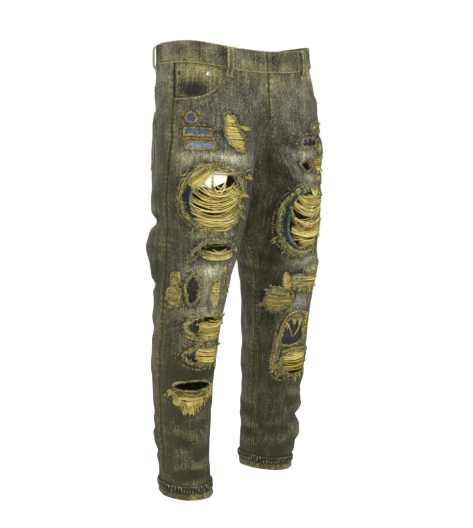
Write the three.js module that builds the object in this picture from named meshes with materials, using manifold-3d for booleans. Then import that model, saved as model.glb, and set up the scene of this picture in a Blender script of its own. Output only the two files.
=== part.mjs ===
// Ripped five-pocket jeans, filled out as if worn. Units are millimetres, +Z is up and the front faces -Y.
// The wearer's right leg is at -X. The origin is the middle of the waist, where the wearer holds them up.
import * as THREE from 'three';
import { mergeVertices } from 'three/addons/utils/BufferGeometryUtils.js';
import Module from 'manifold-3d';

const manifold = await Module();
manifold.setup();

// ---------------------------------------------------------------- driving sizes

const CLOTH = 1.6;            // denim wall
const GAP = 0.3;              // between neighbouring pieces
const LAYER = CLOTH + GAP;    // one layer to the next
const HALF_GAP = GAP / 2;

const WAIST_TOP = 13;         // top of the waistband at the outseam, above the origin
const WAIST_SEAM = -30;       // where the waistband meets the panels
const CROTCH = -308;          // where the four panels meet
const OUTSEAM_ANGLE = 175;    // 90 is the middle of the front, 180 the outer side, 270 the back
const INSEAM_ANGLE = 12;      // the inseam is turned this much to the front on the legs

const BAND = { out: 1.2, in: -1.8, lap: 3.4, underlap: 33, overlap: 3, lapRun: 30, stations: 36 };
const FLY = { reach: 4, raise: LAYER + 2 * GAP, reachEnd: -120, raiseEnd: -150 };
const FLY_FADE = 30;          // the fly's lift fades out over this height
const MOUTH = { width: 110, depth: 70, roundness: 2.6 };
const LOOP = { width: 13, top: 11, foot: -46, standOff: 6.4, thickness: 1.8 };
const CUFF = { top: 28, hemBand: 13, hemThickness: 2.2, legEnd: 3 };
const BUTTON = { radius: 8.5, shank: 3.5, fromFront: 13, height: -6 };
const RIVET = { radius: 4.2, rise: 1.1 };
const PATCH = 1.2;            // thickness of a backing patch

// Sections of the garment, top to bottom. h is the height along the outseam. The front and back edges of a
// section lie frontDrop and backDrop above h. Above the crotch, fork is the angle at which the section
// meets the middle, and below it gap is how far the leg stands off the middle.
const COLUMNS = ['frontDrop', 'backDrop', 'fork', 'gap', 'innerR', 'outerR', 'centreY', 'frontR', 'backR'];
const HIPS = [
  // h      drops     fork gap inner outer  y   front back
  [WAIST_TOP, -19, -20, 90, 0, 92, 163, 12, 115, 126],
  [WAIST_SEAM, -19, -20, 90, 0, 92, 165, 11, 116, 128],
  [-95, -20, -14, 90, 0, 92, 170, 6, 116, 134],
  [-160, -10, -4, 84, 0, 92, 166, 2, 118, 138],
  [-205, -7, 2, 66, 0, 92, 142, 0, 121, 136],
  [-245, -5, 6, 46, 0, 92, 118, 0, 122, 130],
  [-280, -2, 10, 22, 0, 92, 100, 0, 120, 124],
  [CROTCH, 10, 10, 0, 0, 92, 94, 0, 117, 118],
];
const LEFT_HIP_EXTRA = [2, 5, 14, 15, 14, 12, 9, 7];   // the left hip is pushed out, so its sections are wider
const RIGHT_LEG = [
  [-360, 0, 0, 0, 10, 84, 90, 0, 106, 108],
  [-445, 0, 0, 0, 35, 70, 81, 2, 90, 96],
  [-545, 0, 0, 0, 59, 62, 72, 5, 78, 82],
  [-650, 0, 0, 0, 70, 61, 66, 9, 70, 73],
  [-755, 0, 0, 0, 74, 58, 59, 15, 62, 64],
  [-850, 0, 0, 0, 74, 54, 54, 19, 57, 59],
  [-895, 0, 0, 0, 72, 53, 53, 18, 55, 57],
  [-926, 0, 0, 0, 69, 54, 54, 16, 56, 57],
];
const LEFT_LEG = [
  [-356, 0, 0, 0, 8, 88, 94, 0, 112, 108],
  [-440, 0, 0, 0, 30, 79, 84, 0, 98, 96],
  [-540, 0, 0, 0, 41, 71, 73, 5, 86, 82],
  [-645, 0, 0, 0, 44, 67, 70, 12, 77, 74],
  [-748, 0, 0, 0, 48, 63, 67, 20, 70, 69],
  [-830, 0, 0, 0, 51, 60, 63, 28, 66, 66],
  [-876, 0, 0, 0, 51, 56, 58, 30, 60, 60],
  [-915, 0, 0, 0, 50, 55, 56, 31, 58, 58],
];
const HEM_TILT_RUN = 160;     // the hems tilt over this much of each leg's end

// The front falls back between the thighs, most between full and rising, and within reach of the middle.
const DIP = { depth: 36, top: -105, full: -195, rising: -225, reach: 72 };

// The largest folds: a soft ridge (rise above 0) or trough at an angle and height, so wide and so tall.
const FOLDS = {
  right: [
    { angle: 218, h: -394, reach: 50, run: 46, rise: 16 },
    { angle: 220, h: -434, reach: 50, run: 50, rise: 12 },
    { angle: 204, h: -352, reach: 50, run: 26, rise: -5 },
    { angle: 222, h: -318, reach: 44, run: 34, rise: 4 },
    { angle: 250, h: -640, reach: 60, run: 40, rise: 4 },
    { angle: 240, h: -800, reach: 70, run: 34, rise: 4 },
  ],
  left: [
    { angle: 216, h: -430, reach: 44, run: 48, rise: 10 },
    { angle: 250, h: -650, reach: 60, run: 40, rise: 4 },
    { angle: 142, h: -845, reach: 60, run: 46, rise: 9 },
    { angle: 250, h: -770, reach: 70, run: 34, rise: 4 },
  ],
};

// ---------------------------------------------------------------- the garment's surface

const clamp = (value, low, high) => Math.min(high, Math.max(low, value));
const smooth = (from, to, value) => {
  const t = clamp((value - from) / (to - from), 0, 1);
  return t * t * (3 - 2 * t);
};
const degrees = THREE.MathUtils.degToRad;
const spread = (from, to, steps) => Array.from({ length: steps }, (_, i) => from + ((to - from) * i) / steps);
const signedPower = (value, power) => Math.sign(value) * Math.abs(value) ** power;

// Monotone cubic through the sections, so that the outline never bulges between two of them.
function sectionCurve(rows) {
  const knots = [...rows].reverse();
  const h = knots.map((row) => row[0]);
  const step = h.slice(1).map((value, i) => value - h[i]);
  const slope = step.map((run, i) => COLUMNS.map((_, c) => (knots[i + 1][c + 1] - knots[i][c + 1]) / run));
  const tangent = knots.map((_, i) => {
    if (i === 0) return slope[0];
    if (i === knots.length - 1) return slope[i - 1];
    const before = 2 * step[i] + step[i - 1];
    const after = step[i] + 2 * step[i - 1];
    return COLUMNS.map((_, c) => {
      const a = slope[i - 1][c];
      const b = slope[i][c];
      return a * b > 0 ? (before + after) / (before / a + after / b) : 0;
    });
  });
  return (height) => {
    const value = clamp(height, h[0], h[h.length - 1]);
    const i = clamp(h.findLastIndex((knot) => knot <= value), 0, step.length - 1);
    const t = (value - h[i]) / step[i];
    const weights = [2 * t ** 3 - 3 * t ** 2 + 1, t ** 3 - 2 * t ** 2 + t, 3 * t ** 2 - 2 * t ** 3, t ** 3 - t ** 2];
    const section = {};
    COLUMNS.forEach((name, c) => {
      section[name] = weights[0] * knots[i][c + 1] + weights[1] * step[i] * tangent[i][c]
        + weights[2] * knots[i + 1][c + 1] + weights[3] * step[i] * tangent[i + 1][c];
    });
    return section;
  };
}

const widenedHips = HIPS.map((row, i) => row.map((value, c) => (c === 6 ? value + LEFT_HIP_EXTRA[i] : value)));
const LEGS = {
  right: {
    name: 'right', side: -1, hem: -926, tilt: { x: 0.04, y: 0.05 },
    section: sectionCurve([...HIPS, ...RIGHT_LEG]), folds: FOLDS.right,
  },
  left: {
    name: 'left', side: 1, hem: -915, tilt: { x: -0.13, y: 0 },
    section: sectionCurve([...widenedHips, ...LEFT_LEG]), folds: FOLDS.left,
  },
};

const squareness = (h) => smooth(-300, -120, h);     // 1 on the hips, 0 from the crotch down

function foldRise(leg, angle, h) {
  let rise = 0;
  for (const fold of leg.folds) {
    const turn = THREE.MathUtils.euclideanModulo(angle - fold.angle + 180, 360) - 180;
    const across = smooth(1, 0, Math.abs(turn) / fold.reach);
    rise += fold.rise * across * smooth(1, 0, Math.abs(h - fold.h) / fold.run);
  }
  return rise;
}

function frontDip(x, h) {
  return DIP.depth * smooth(DIP.top, DIP.full, h) * smooth(CROTCH, DIP.rising, h) * smooth(DIP.reach, 0, Math.abs(x));
}

function surfacePoint(leg, angle, h) {
  const s = leg.section(h);
  const cos = Math.cos(degrees(angle));
  const sin = Math.sin(degrees(angle));
  const front = angle <= 180;
  const power = 2 / (2 + (front ? 0.75 : 0.35) * squareness(h));
  const outer = cos < 0;
  const across = outer ? signedPower(cos, power) : cos;
  const along = outer ? signedPower(sin, power) : sin;
  const centre = s.innerR * Math.cos(degrees(s.fork)) + s.gap;
  const rise = foldRise(leg, angle, h);
  const u = -((outer ? s.outerR : s.innerR) + rise) * across;
  const y = -((sin > 0 ? s.frontR : s.backR) + rise) * along;
  const turn = clamp(Math.abs(180 - angle) / (180 - s.fork), 0, 1);
  const toEdge = smooth(0, 1, front ? turn ** 1.4 : turn);
  const hemShare = smooth(leg.hem + HEM_TILT_RUN, leg.hem, h);
  const z = h + (front ? s.frontDrop : s.backDrop) * toEdge + hemShare * (leg.tilt.x * u + leg.tilt.y * y);
  const x = leg.side * (centre + u);
  return new THREE.Vector3(x, s.centreY + y + (front ? frontDip(x, h) : 0), z);
}

// A point moved out of the surface by level. It never crosses the middle of the garment.
function levelPoint(leg, angle, h, level) {
  const point = surfacePoint(leg, angle, h);
  const down = clamp(h - 1.5, leg.hem, WAIST_TOP);
  const up = clamp(h + 1.5, leg.hem, WAIST_TOP);
  const alongTurn = surfacePoint(leg, angle + 0.6, h).sub(surfacePoint(leg, angle - 0.6, h));
  const alongRise = surfacePoint(leg, angle, up).sub(surfacePoint(leg, angle, down));
  const normal = alongTurn.cross(alongRise).normalize().multiplyScalar(leg.side);
  if (leg.section(h).fork > 89) normal.setX(Math.abs(point.x) < 2 ? 0 : normal.x).normalize();
  point.addScaledVector(normal, level);
  if (h > CROTCH - 60) point.x = leg.side * Math.max(HALF_GAP, leg.side * point.x);
  return { point, normal };
}

// Each panel runs from its inner edge (share 0, at the middle or the inseam) to the outseam (share 1).
function panelAngle(leg, kind, share, h) {
  const { fork } = leg.section(h);
  const inseam = INSEAM_ANGLE * smooth(-CROTCH, -CROTCH + 112, -h);
  const seamGap = (HALF_GAP / 90) * THREE.MathUtils.RAD2DEG;
  const innerGap = seamGap * smooth(88, 60, fork);
  const spread = 1 + (kind === 'front' ? 0.3 : 0.15) * squareness(h);
  const inner = kind === 'front' ? fork + inseam + innerGap : 360 - fork + inseam - innerGap;
  const outer = kind === 'front' ? OUTSEAM_ANGLE - seamGap : OUTSEAM_ANGLE + seamGap;
  return inner + (outer - inner) * signedPower(share, spread);
}

const runCache = new Map();
function panelRun(leg, kind, h) {
  const key = `${leg.name} ${kind} ${Math.round(h)}`;
  if (!runCache.has(key)) {
    const steps = 24;
    let run = 0;
    let last = surfacePoint(leg, panelAngle(leg, kind, 0, h), h);
    for (let i = 1; i <= steps; i += 1) {
      const next = surfacePoint(leg, panelAngle(leg, kind, i / steps, h), h);
      run += next.distanceTo(last);
      last = next;
    }
    runCache.set(key, run);
  }
  return runCache.get(key);
}

// A place on a panel is given by its distance in from the outseam and its height.
function placeOn(leg, kind, fromOutseam, h, level) {
  const share = 1 - fromOutseam / panelRun(leg, kind, h);
  return levelPoint(leg, panelAngle(leg, kind, share, h), h, level);
}

// ---------------------------------------------------------------- closed solids

function signedVolume(positions, faces) {
  const [a, b, c] = [new THREE.Vector3(), new THREE.Vector3(), new THREE.Vector3()];
  return faces.reduce((sum, face) => {
    a.fromArray(positions, 3 * face[0]);
    b.fromArray(positions, 3 * face[1]);
    c.fromArray(positions, 3 * face[2]);
    return sum + a.dot(b.cross(c)) / 6;
  }, 0);
}

function solid(points, faces) {
  const positions = points.flatMap((point) => point.toArray());
  const outward = signedVolume(positions, faces) > 0 ? faces : faces.map(([a, b, c]) => [a, c, b]);
  const geometry = new THREE.BufferGeometry();
  geometry.setAttribute('position', new THREE.Float32BufferAttribute(positions, 3));
  geometry.setIndex(outward.flat());
  return geometry;
}

// A wall between two equal grids of points. A closed one joins its last column to its first.
function wall(outer, inner, closed = false) {
  const rows = outer.length;
  const cols = outer[0].length;
  const index = (layer, i, j) => layer * rows * cols + i * cols + (j % cols);
  const faces = [];
  const quad = (a, b, c, d) => faces.push([a, b, c], [a, c, d]);
  const lastCol = closed ? cols : cols - 1;
  for (let j = 0; j < lastCol; j += 1) {
    for (let i = 0; i < rows - 1; i += 1) {
      quad(index(0, i, j), index(0, i + 1, j), index(0, i + 1, j + 1), index(0, i, j + 1));
      quad(index(1, i, j), index(1, i, j + 1), index(1, i + 1, j + 1), index(1, i + 1, j));
    }
    quad(index(0, 0, j), index(0, 0, j + 1), index(1, 0, j + 1), index(1, 0, j));
    quad(index(0, rows - 1, j), index(1, rows - 1, j), index(1, rows - 1, j + 1), index(0, rows - 1, j + 1));
  }
  if (!closed) {
    for (let i = 0; i < rows - 1; i += 1) {
      quad(index(0, i, 0), index(1, i, 0), index(1, i + 1, 0), index(0, i + 1, 0));
      const j = cols - 1;
      quad(index(0, i, j), index(0, i + 1, j), index(1, i + 1, j), index(1, i, j));
    }
  }
  return solid([...outer.flat(), ...inner.flat()], faces);
}

function toManifold(geometry) {
  const merged = mergeVertices(geometry, 1e-4);
  return new manifold.Manifold(new manifold.Mesh({
    numProp: 3,
    vertProperties: new Float32Array(merged.attributes.position.array),
    triVerts: new Uint32Array(merged.index.array),
  }));
}

// Points that shape nothing are dropped.
const SIMPLIFY = 0.06;
function fromManifold(body) {
  const mesh = body.simplify(SIMPLIFY).getMesh();
  const geometry = new THREE.BufferGeometry();
  geometry.setAttribute('position', new THREE.BufferAttribute(new Float32Array(mesh.vertProperties), 3));
  geometry.setIndex(Array.from(mesh.triVerts));
  return geometry;
}

// The same outline with no side longer than the given length.
function withShortSides(outline, longest = 30) {
  return outline.flatMap((place, i) => {
    const next = outline[(i + 1) % outline.length];
    const steps = Math.max(1, Math.ceil(Math.hypot(next[0] - place[0], next[1] - place[1]) / longest));
    return spread(0, 1, steps).map((t) => [place[0] + (next[0] - place[0]) * t, place[1] + (next[1] - place[1]) * t]);
  });
}

// A prism through the wall, over an outline of [fromOutseam, h] places. Its caps follow the surface.
const CUT_DEPTH = 12;
const CAP_RINGS = [1, 0.7, 0.4, 0.15];
function outlinePrism(leg, kind, corners) {
  const outline = withShortSides(corners);
  const count = outline.length;
  const middle = [0, 1].map((k) => outline.reduce((sum, place) => sum + place[k] / count, 0));
  const points = [];
  for (const level of [CUT_DEPTH, -CUT_DEPTH]) {
    for (const share of CAP_RINGS) {
      for (const place of outline) {
        const [x, h] = place.map((value, k) => middle[k] + (value - middle[k]) * share);
        points.push(placeOn(leg, kind, x, h, level).point);
      }
    }
    points.push(placeOn(leg, kind, ...middle, level).point);
  }
  const capSize = CAP_RINGS.length * count + 1;
  const faces = [];
  for (let i = 0; i < count; i += 1) {
    const next = (i + 1) % count;
    faces.push([i, next, capSize + next], [i, capSize + next, capSize + i]);
    for (let ring = 0; ring < CAP_RINGS.length - 1; ring += 1) {
      const [a, b] = [ring * count + i, ring * count + next];
      faces.push([a, a + count, b + count], [a, b + count, b]);
      faces.push([capSize + a, capSize + b, capSize + b + count], [capSize + a, capSize + b + count, capSize + a + count]);
    }
    const last = (CAP_RINGS.length - 1) * count;
    faces.push([capSize - 1, last + next, last + i]);
    faces.push([2 * capSize - 1, capSize + last + i, capSize + last + next]);
  }
  return toManifold(solid(points, faces));
}

// An oval of a rip or a patch. Its edge wanders a little, as torn cloth does.
function oval({ x, h, width, height, ragged = 0, turn = 0, corners = 10 }) {
  return Array.from({ length: corners }, (_, i) => {
    const angle = (2 * Math.PI * i) / corners;
    const stray = 1 + ragged * Math.sin(3 * angle + x) * Math.cos(2 * angle - h);
    const across = (width / 2) * Math.cos(angle) * stray;
    const rise = (height / 2) * Math.sin(angle) * stray;
    const lean = degrees(turn);
    return [x + across * Math.cos(lean) - rise * Math.sin(lean), h + across * Math.sin(lean) + rise * Math.cos(lean)];
  });
}

// ---------------------------------------------------------------- panels

const PANEL_COLUMNS = { front: 8, back: 7 };
const ROWS = [...spread(WAIST_SEAM - GAP, -150, 4), ...spread(-150, -310, 6), ...spread(-310, -520, 5)];

function legRows(leg, from = WAIST_SEAM) {
  const end = leg.hem + CUFF.legEnd;
  const cuffTop = leg.hem + CUFF.top;
  return [...ROWS, ...spread(-520, cuffTop, 8), cuffTop, end].filter((h) => h < from);
}

// The yoke is deepest at the middle of the back.
const yokeLine = (share) => -72 - 28 * (1 - share);

function panelRows(leg, name, share) {
  const rows = legRows(leg);
  if (name === 'yoke') return [rows[0], (rows[0] + yokeLine(share)) / 2, yokeLine(share) + HALF_GAP];
  if (name === 'back') return [yokeLine(share) - HALF_GAP, ...rows.filter((h) => h < -110)];
  return rows;
}

// The fly edge of the left front lies over the right front.
function flyLift(leg, kind, share, h) {
  if (leg.side < 0 || kind !== 'front') return { reach: 0, raise: 0 };
  const edge = share === 0 ? 1 : 0;
  return {
    reach: edge * FLY.reach * smooth(FLY.reachEnd, FLY.reachEnd + FLY_FADE, h),
    raise: edge * FLY.raise * smooth(FLY.raiseEnd, FLY.raiseEnd + FLY_FADE, h),
  };
}

function panelGrid(leg, name, level) {
  const kind = name === 'yoke' ? 'back' : name;
  const columns = PANEL_COLUMNS[kind];
  const shares = Array.from({ length: columns + 1 }, (_, j) => j / columns);
  const rowCount = panelRows(leg, name, 0).length;
  return Array.from({ length: rowCount }, (_, i) => shares.map((share) => {
    const h = panelRows(leg, name, share)[i];
    const { reach, raise } = flyLift(leg, kind, share, h);
    const { point } = levelPoint(leg, panelAngle(leg, kind, share, h), h, level + raise);
    if (reach > 0) point.x -= leg.side * reach;
    return point;
  }));
}

const panelWall = (leg, name, outer, inner) => wall(panelGrid(leg, name, outer), panelGrid(leg, name, inner));

// A panel, less its rips and, on a front, the corner that the pocket mouth takes.
function panel(leg, name, cutOutlines) {
  const kind = name === 'yoke' ? 'back' : name;
  let body = toManifold(panelWall(leg, name, 0, -CLOTH));
  for (const outline of cutOutlines) body = body.subtract(outlinePrism(leg, kind, outline));
  return fromManifold(body);
}

function mouthOutline() {
  const outline = [[-8, WAIST_SEAM + 12], [-8, WAIST_SEAM - MOUTH.depth]];
  const steps = 8;
  for (let i = 0; i <= steps; i += 1) {
    const turn = (Math.PI / 2) * (i / steps);
    const x = MOUTH.width * Math.sin(turn) ** (2 / MOUTH.roundness);
    const drop = MOUTH.depth * Math.max(Math.cos(turn), 0) ** (2 / MOUTH.roundness);
    outline.push([x, WAIST_SEAM - drop]);
  }
  outline.push([MOUTH.width, WAIST_SEAM + 12]);
  return outline;
}

// A piece that lies on a panel, or behind it: the panel's own points moved out, trimmed to an outline.
function onPanel(leg, name, { outline, layer, thickness, hole }) {
  const kind = name === 'yoke' ? 'back' : name;
  const outerLevel = layer > 0 ? layer * LAYER - CLOTH + thickness : layer * LAYER;
  let body = toManifold(panelWall(leg, name, outerLevel, outerLevel - thickness));
  body = body.intersect(outlinePrism(leg, kind, outline));
  if (hole) body = body.subtract(outlinePrism(leg, kind, hole));
  return fromManifold(body);
}

// ---------------------------------------------------------------- pieces round the waist

// A place on the waistband: along is measured from the middle of the front round the wearer's right side.
function bandPlace(along, h, level) {
  const { right, left } = LEGS;
  const runs = [[right, 'front'], [right, 'back'], [left, 'back'], [left, 'front']]
    .map(([leg, kind]) => ({ leg, kind, run: panelRun(leg, kind, WAIST_SEAM) }));
  const total = runs.reduce((sum, { run }) => sum + run, 0);
  if (along < 0) return levelPoint(left, panelAngle(left, 'front', -along / runs[3].run, h), h, level);
  if (along > total) return levelPoint(right, panelAngle(right, 'front', (along - total) / runs[0].run, h), h, level);
  let rest = along;
  for (const [i, { leg, kind, run }] of runs.entries()) {
    if (rest <= run || i === 3) {
      const share = i % 2 === 0 ? rest / run : 1 - rest / run;
      return levelPoint(leg, panelAngle(leg, kind, clamp(share, 0, 1), h), h, level);
    }
    rest -= run;
  }
  return null;
}

function bandLength() {
  const { right, left } = LEGS;
  return [right, left].reduce((sum, leg) => sum + panelRun(leg, 'front', WAIST_SEAM) + panelRun(leg, 'back', WAIST_SEAM), 0);
}

// A C-shaped ring. Its left end is raised, and lies over its right end at the front.
function waistband() {
  const from = -BAND.underlap;
  const to = bandLength() + BAND.overlap;
  const lapStart = bandLength() - BAND.underlap - BAND.lapRun;
  const lapEnd = bandLength() - BAND.underlap - 4;
  const alongs = Array.from({ length: BAND.stations + 1 }, (_, i) => from + ((to - from) * i) / BAND.stations);
  alongs.push(0, lapStart, lapEnd, bandLength());
  alongs.sort((a, b) => a - b);
  const grid = (level) => [WAIST_TOP, WAIST_SEAM].map((h) => alongs.map((along) => {
    const raise = BAND.lap * smooth(lapStart, lapEnd, along);
    return bandPlace(along, h, level + raise).point;
  }));
  return wall(grid(BAND.out), grid(BAND.in));
}

// A belt loop's height and its distance off the cloth, from its top to its foot.
const LOOP_STATIONS = [
  [LOOP.top, BAND.out + 2 * GAP], [LOOP.top - 4, BAND.out + GAP + LOOP.standOff * 0.75],
  [LOOP.top - 10, BAND.out + GAP + LOOP.standOff], [LOOP.foot + 18, BAND.out + GAP + LOOP.standOff],
  [LOOP.foot + 12, BAND.out + GAP + LOOP.standOff * 0.6], [LOOP.foot + 8, GAP + 0.6], [LOOP.foot, GAP + 0.3],
];

// A belt loop: a strip that stands off the waistband between its sewn ends.
function beltLoop(leg, kind, fromOutseam) {
  const middle = 1 - fromOutseam / panelRun(leg, kind, WAIST_SEAM);
  const half = LOOP.width / 2 / panelRun(leg, kind, WAIST_SEAM);
  const grid = (extra) => LOOP_STATIONS.map(([h, level]) => [middle - half, middle, middle + half]
    .map((share) => levelPoint(leg, panelAngle(leg, kind, share, h), h, level + extra).point));
  return wall(grid(LOOP.thickness), grid(0));
}

// A straight strip over the middle of the back, for the loop that crosses both sides.
function centreLoop() {
  const { left } = LEGS;
  const grid = (extra) => LOOP_STATIONS.map(([h, level]) => {
    const { point } = levelPoint(left, panelAngle(left, 'back', 0, h), h, level + extra);
    return [-LOOP.width / 2, LOOP.width / 2].map((x) => new THREE.Vector3(x, point.y, point.z));
  });
  return wall(grid(LOOP.thickness), grid(0));
}

// A turned piece, such as a rivet, set on a place with its axis along the cloth's normal.
function turned(profile, segments, { point, normal }) {
  const geometry = new THREE.LatheGeometry(profile.map(([r, z]) => new THREE.Vector2(r, z)), segments);
  const upright = new THREE.Quaternion().setFromUnitVectors(new THREE.Vector3(0, 1, 0), normal);
  geometry.applyQuaternion(upright);
  geometry.translate(point.x, point.y, point.z);
  return geometry;
}

const rivet = (place) => turned(
  [[0, 0], [RIVET.radius, 0], [RIVET.radius, 0.5], [RIVET.radius * 0.6, RIVET.rise], [0, RIVET.rise]], 8, place);

function waistButton() {
  const place = bandPlace(-BUTTON.fromFront, BUTTON.height, BAND.out + BAND.lap + GAP);
  const { radius, shank } = BUTTON;
  return turned([[0, 0], [shank, 0], [shank, 1.2], [radius - 1, 1.2], [radius, 1.9], [radius, 3], [radius - 1.2, 3.8],
    [radius * 0.55, 3.5], [0, 4]], 16, place);
}

// ---------------------------------------------------------------- cuffs

// A ring round the leg's end, with its facets over the panels' own.
function legRing(leg, heights, levels, thickness) {
  const { front, back } = PANEL_COLUMNS;
  const turns = (h) => [
    ...Array.from({ length: front + 1 }, (_, j) => panelAngle(leg, 'front', j / front, h)),
    ...Array.from({ length: back - 1 }, (_, j) => panelAngle(leg, 'back', 1 - (j + 1) / back, h)),
  ];
  const grid = (extra) => heights.map((h, i) => turns(h).map((angle) => levelPoint(leg, angle, h, levels[i] + extra).point));
  return wall(grid(thickness), grid(0), true);
}

function cuff(leg) {
  const top = leg.hem + CUFF.top;
  return legRing(leg, [top, top - CUFF.hemBand, leg.hem], [GAP + 0.3, GAP + 0.3, GAP + 1.8], CLOTH);
}

function hemBand(leg) {
  const top = leg.hem + CUFF.top;
  const level = CLOTH + 2 * GAP + 0.6;
  return legRing(leg, [top + 1, top - CUFF.hemBand], [level, level], CUFF.hemThickness);
}

// ---------------------------------------------------------------- rips and what backs them

const THIGH_RIP = {
  right: { cut: { x: 101, h: -294, width: 126, height: 124 }, open: { x: 108, h: -296, width: 98, height: 112 } },
  left: { cut: { x: 148, h: -348, width: 132, height: 136 }, open: { x: 138, h: -350, width: 106, height: 118 } },
};
const RIPS = {
  right: [
    { x: 43, h: -137, width: 26, height: 20, corners: 8 },
    { x: 60, h: -164, width: 60, height: 14, corners: 8 },
    { x: 66, h: -191, width: 60, height: 14, corners: 8 },
    { ...THIGH_RIP.right.cut, ragged: 0.05, corners: 16 },
    { x: 108, h: -396, width: 70, height: 30, ragged: 0.08 },
    { x: 62, h: -479, width: 26, height: 54 },
    { x: 104, h: -558, width: 84, height: 42, ragged: 0.06 },
    { x: 98, h: -616, width: 66, height: 38, ragged: 0.06 },
    { x: 74, h: -680, width: 78, height: 18, corners: 10 },
  ],
  left: [
    { x: 138, h: -184, width: 58, height: 20, corners: 8 },
    { x: 112, h: -232, width: 44, height: 18, corners: 8 },
    { ...THIGH_RIP.left.cut, ragged: 0.05, corners: 16 },
    { x: 128, h: -596, width: 42, height: 44 },
    { x: 98, h: -662, width: 70, height: 42, ragged: 0.06 },
  ],
};

const material = (color, roughness = 0.95, metalness = 0) => new THREE.MeshStandardMaterial({ color, roughness, metalness });
const DENIM = () => material('#85826a');
const DARK_DENIM = () => material('#4c4e45');
const NAVY = () => material('#2b3540');
const BLUE = () => material('#3f6382');
const WRONG_SIDE = () => material('#b0a684');
const COTTON = () => material('#dcdad2');
const COPPER = () => material('#7a5a3c', 0.5, 0.9);
const GUNMETAL = () => material('#3d3a34', 0.45, 0.9);

const BACKINGS = {
  right: [
    { name: 'patch_badge_right', at: { x: 43, h: -137, width: 46, height: 36 }, finish: BLUE },
    { name: 'patch_stripe_upper_right', at: { x: 61, h: -165, width: 84, height: 19 }, finish: BLUE },
    { name: 'patch_stripe_lower_right', at: { x: 67, h: -191, width: 84, height: 26 }, finish: BLUE },
    {
      name: 'patch_thigh_right', finish: NAVY,
      at: { x: 101, h: -294, width: 162, height: 156, corners: 16 }, hole: { ...THIGH_RIP.right.open, corners: 16 },
    },
    { name: 'patch_oval_right', at: { x: 62, h: -479, width: 46, height: 78 }, finish: DARK_DENIM },
    { name: 'patch_shin_right', at: { x: 54, h: -586, width: 50, height: 112 }, finish: NAVY },
  ],
  left: [
    { name: 'patch_hip_left', at: { x: 138, h: -184, width: 84, height: 40 }, finish: NAVY },
    { name: 'patch_pocket_left', at: { x: 112, h: -232, width: 66, height: 34 }, finish: DARK_DENIM },
    {
      name: 'patch_thigh_left', finish: NAVY,
      at: { x: 148, h: -348, width: 168, height: 168, corners: 16 }, hole: { ...THIGH_RIP.left.open, corners: 16 },
    },
    { name: 'patch_knee_left', at: { x: 128, h: -596, width: 64, height: 64 }, finish: DARK_DENIM },
  ],
};

// ---------------------------------------------------------------- the garment

const jeans = new THREE.Group();
jeans.name = 'ripped_jeans';

function add(name, geometry, finish) {
  const mesh = new THREE.Mesh(geometry, finish());
  mesh.name = name;
  jeans.add(mesh);
}

const facingOutline = [[-6, WAIST_SEAM + 10], [-6, -114], [80, -114], [116, -104], [138, -84], [138, WAIST_SEAM + 10]];
const coinOutline = [[5, WAIST_SEAM + 10], [5, -94], [44, -98], [88, -94], [88, WAIST_SEAM + 10]];
const bagOutline = [[34, -116], [34, -262], [48, -274], [110, -276], [132, -262], [138, -200], [132, -116]];
const backPocketOutline = [[62, -124], [58, -232], [130, -264], [202, -232], [198, -124]];

add('waistband', waistband(), DENIM);

for (const leg of Object.values(LEGS)) {
  const side = leg.name;
  add(`front_${side}`, panel(leg, 'front', [mouthOutline(), ...RIPS[side].map(oval)]), DENIM);
  add(`back_${side}`, panel(leg, 'back', []), DENIM);
  add(`yoke_${side}`, panel(leg, 'yoke', []), DENIM);
  const facingLayer = leg === LEGS.right ? -2 : -1;      // the coin pocket lies between on the right
  add(`pocket_facing_${side}`, onPanel(leg, 'front', { outline: facingOutline, layer: facingLayer, thickness: CLOTH }), DENIM);
  add(`back_pocket_${side}`, onPanel(leg, 'back', { outline: backPocketOutline, layer: 1, thickness: CLOTH }), DENIM);
  for (const { name, at, hole, finish } of BACKINGS[side]) {
    const piece = { outline: oval(at), hole: hole && oval(hole), layer: -1, thickness: PATCH };
    add(name, onPanel(leg, 'front', piece), finish);
  }
  add(`cuff_${side}`, cuff(leg), WRONG_SIDE);
  add(`hem_band_${side}`, hemBand(leg), DARK_DENIM);
  add(`belt_loop_front_${side}`, beltLoop(leg, 'front', 127), DENIM);
  add(`belt_loop_side_${side}`, beltLoop(leg, 'back', 58), DENIM);
  const onFront = 2 * GAP;
  add(`rivet_mouth_front_${side}`, rivet(placeOn(leg, 'front', 115, -37, onFront)), COPPER);
  add(`rivet_mouth_side_${side}`, rivet(placeOn(leg, 'front', 9, -107, onFront)), COPPER);
}

const { right } = LEGS;
add('coin_pocket', onPanel(right, 'front', { outline: coinOutline, layer: -1, thickness: CLOTH }), DENIM);
add('pocket_bag_right', onPanel(right, 'front', { outline: bagOutline, layer: -2, thickness: 1 }), COTTON);
const onCoin = GAP + 0.3 - LAYER;
add('rivet_coin_outer', rivet(placeOn(right, 'front', 12, -50, onCoin)), COPPER);
add('rivet_coin_inner', rivet(placeOn(right, 'front', 81, -48, onCoin)), COPPER);
add('belt_loop_back', centreLoop(), DENIM);
add('waist_button', waistButton(), GUNMETAL);

export default jeans;
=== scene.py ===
import logging
import math
from dataclasses import dataclass, field
from enum import Enum
from typing import Sequence

import bmesh
import bpy
import numpy as np
from mathutils import Matrix, Vector


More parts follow.
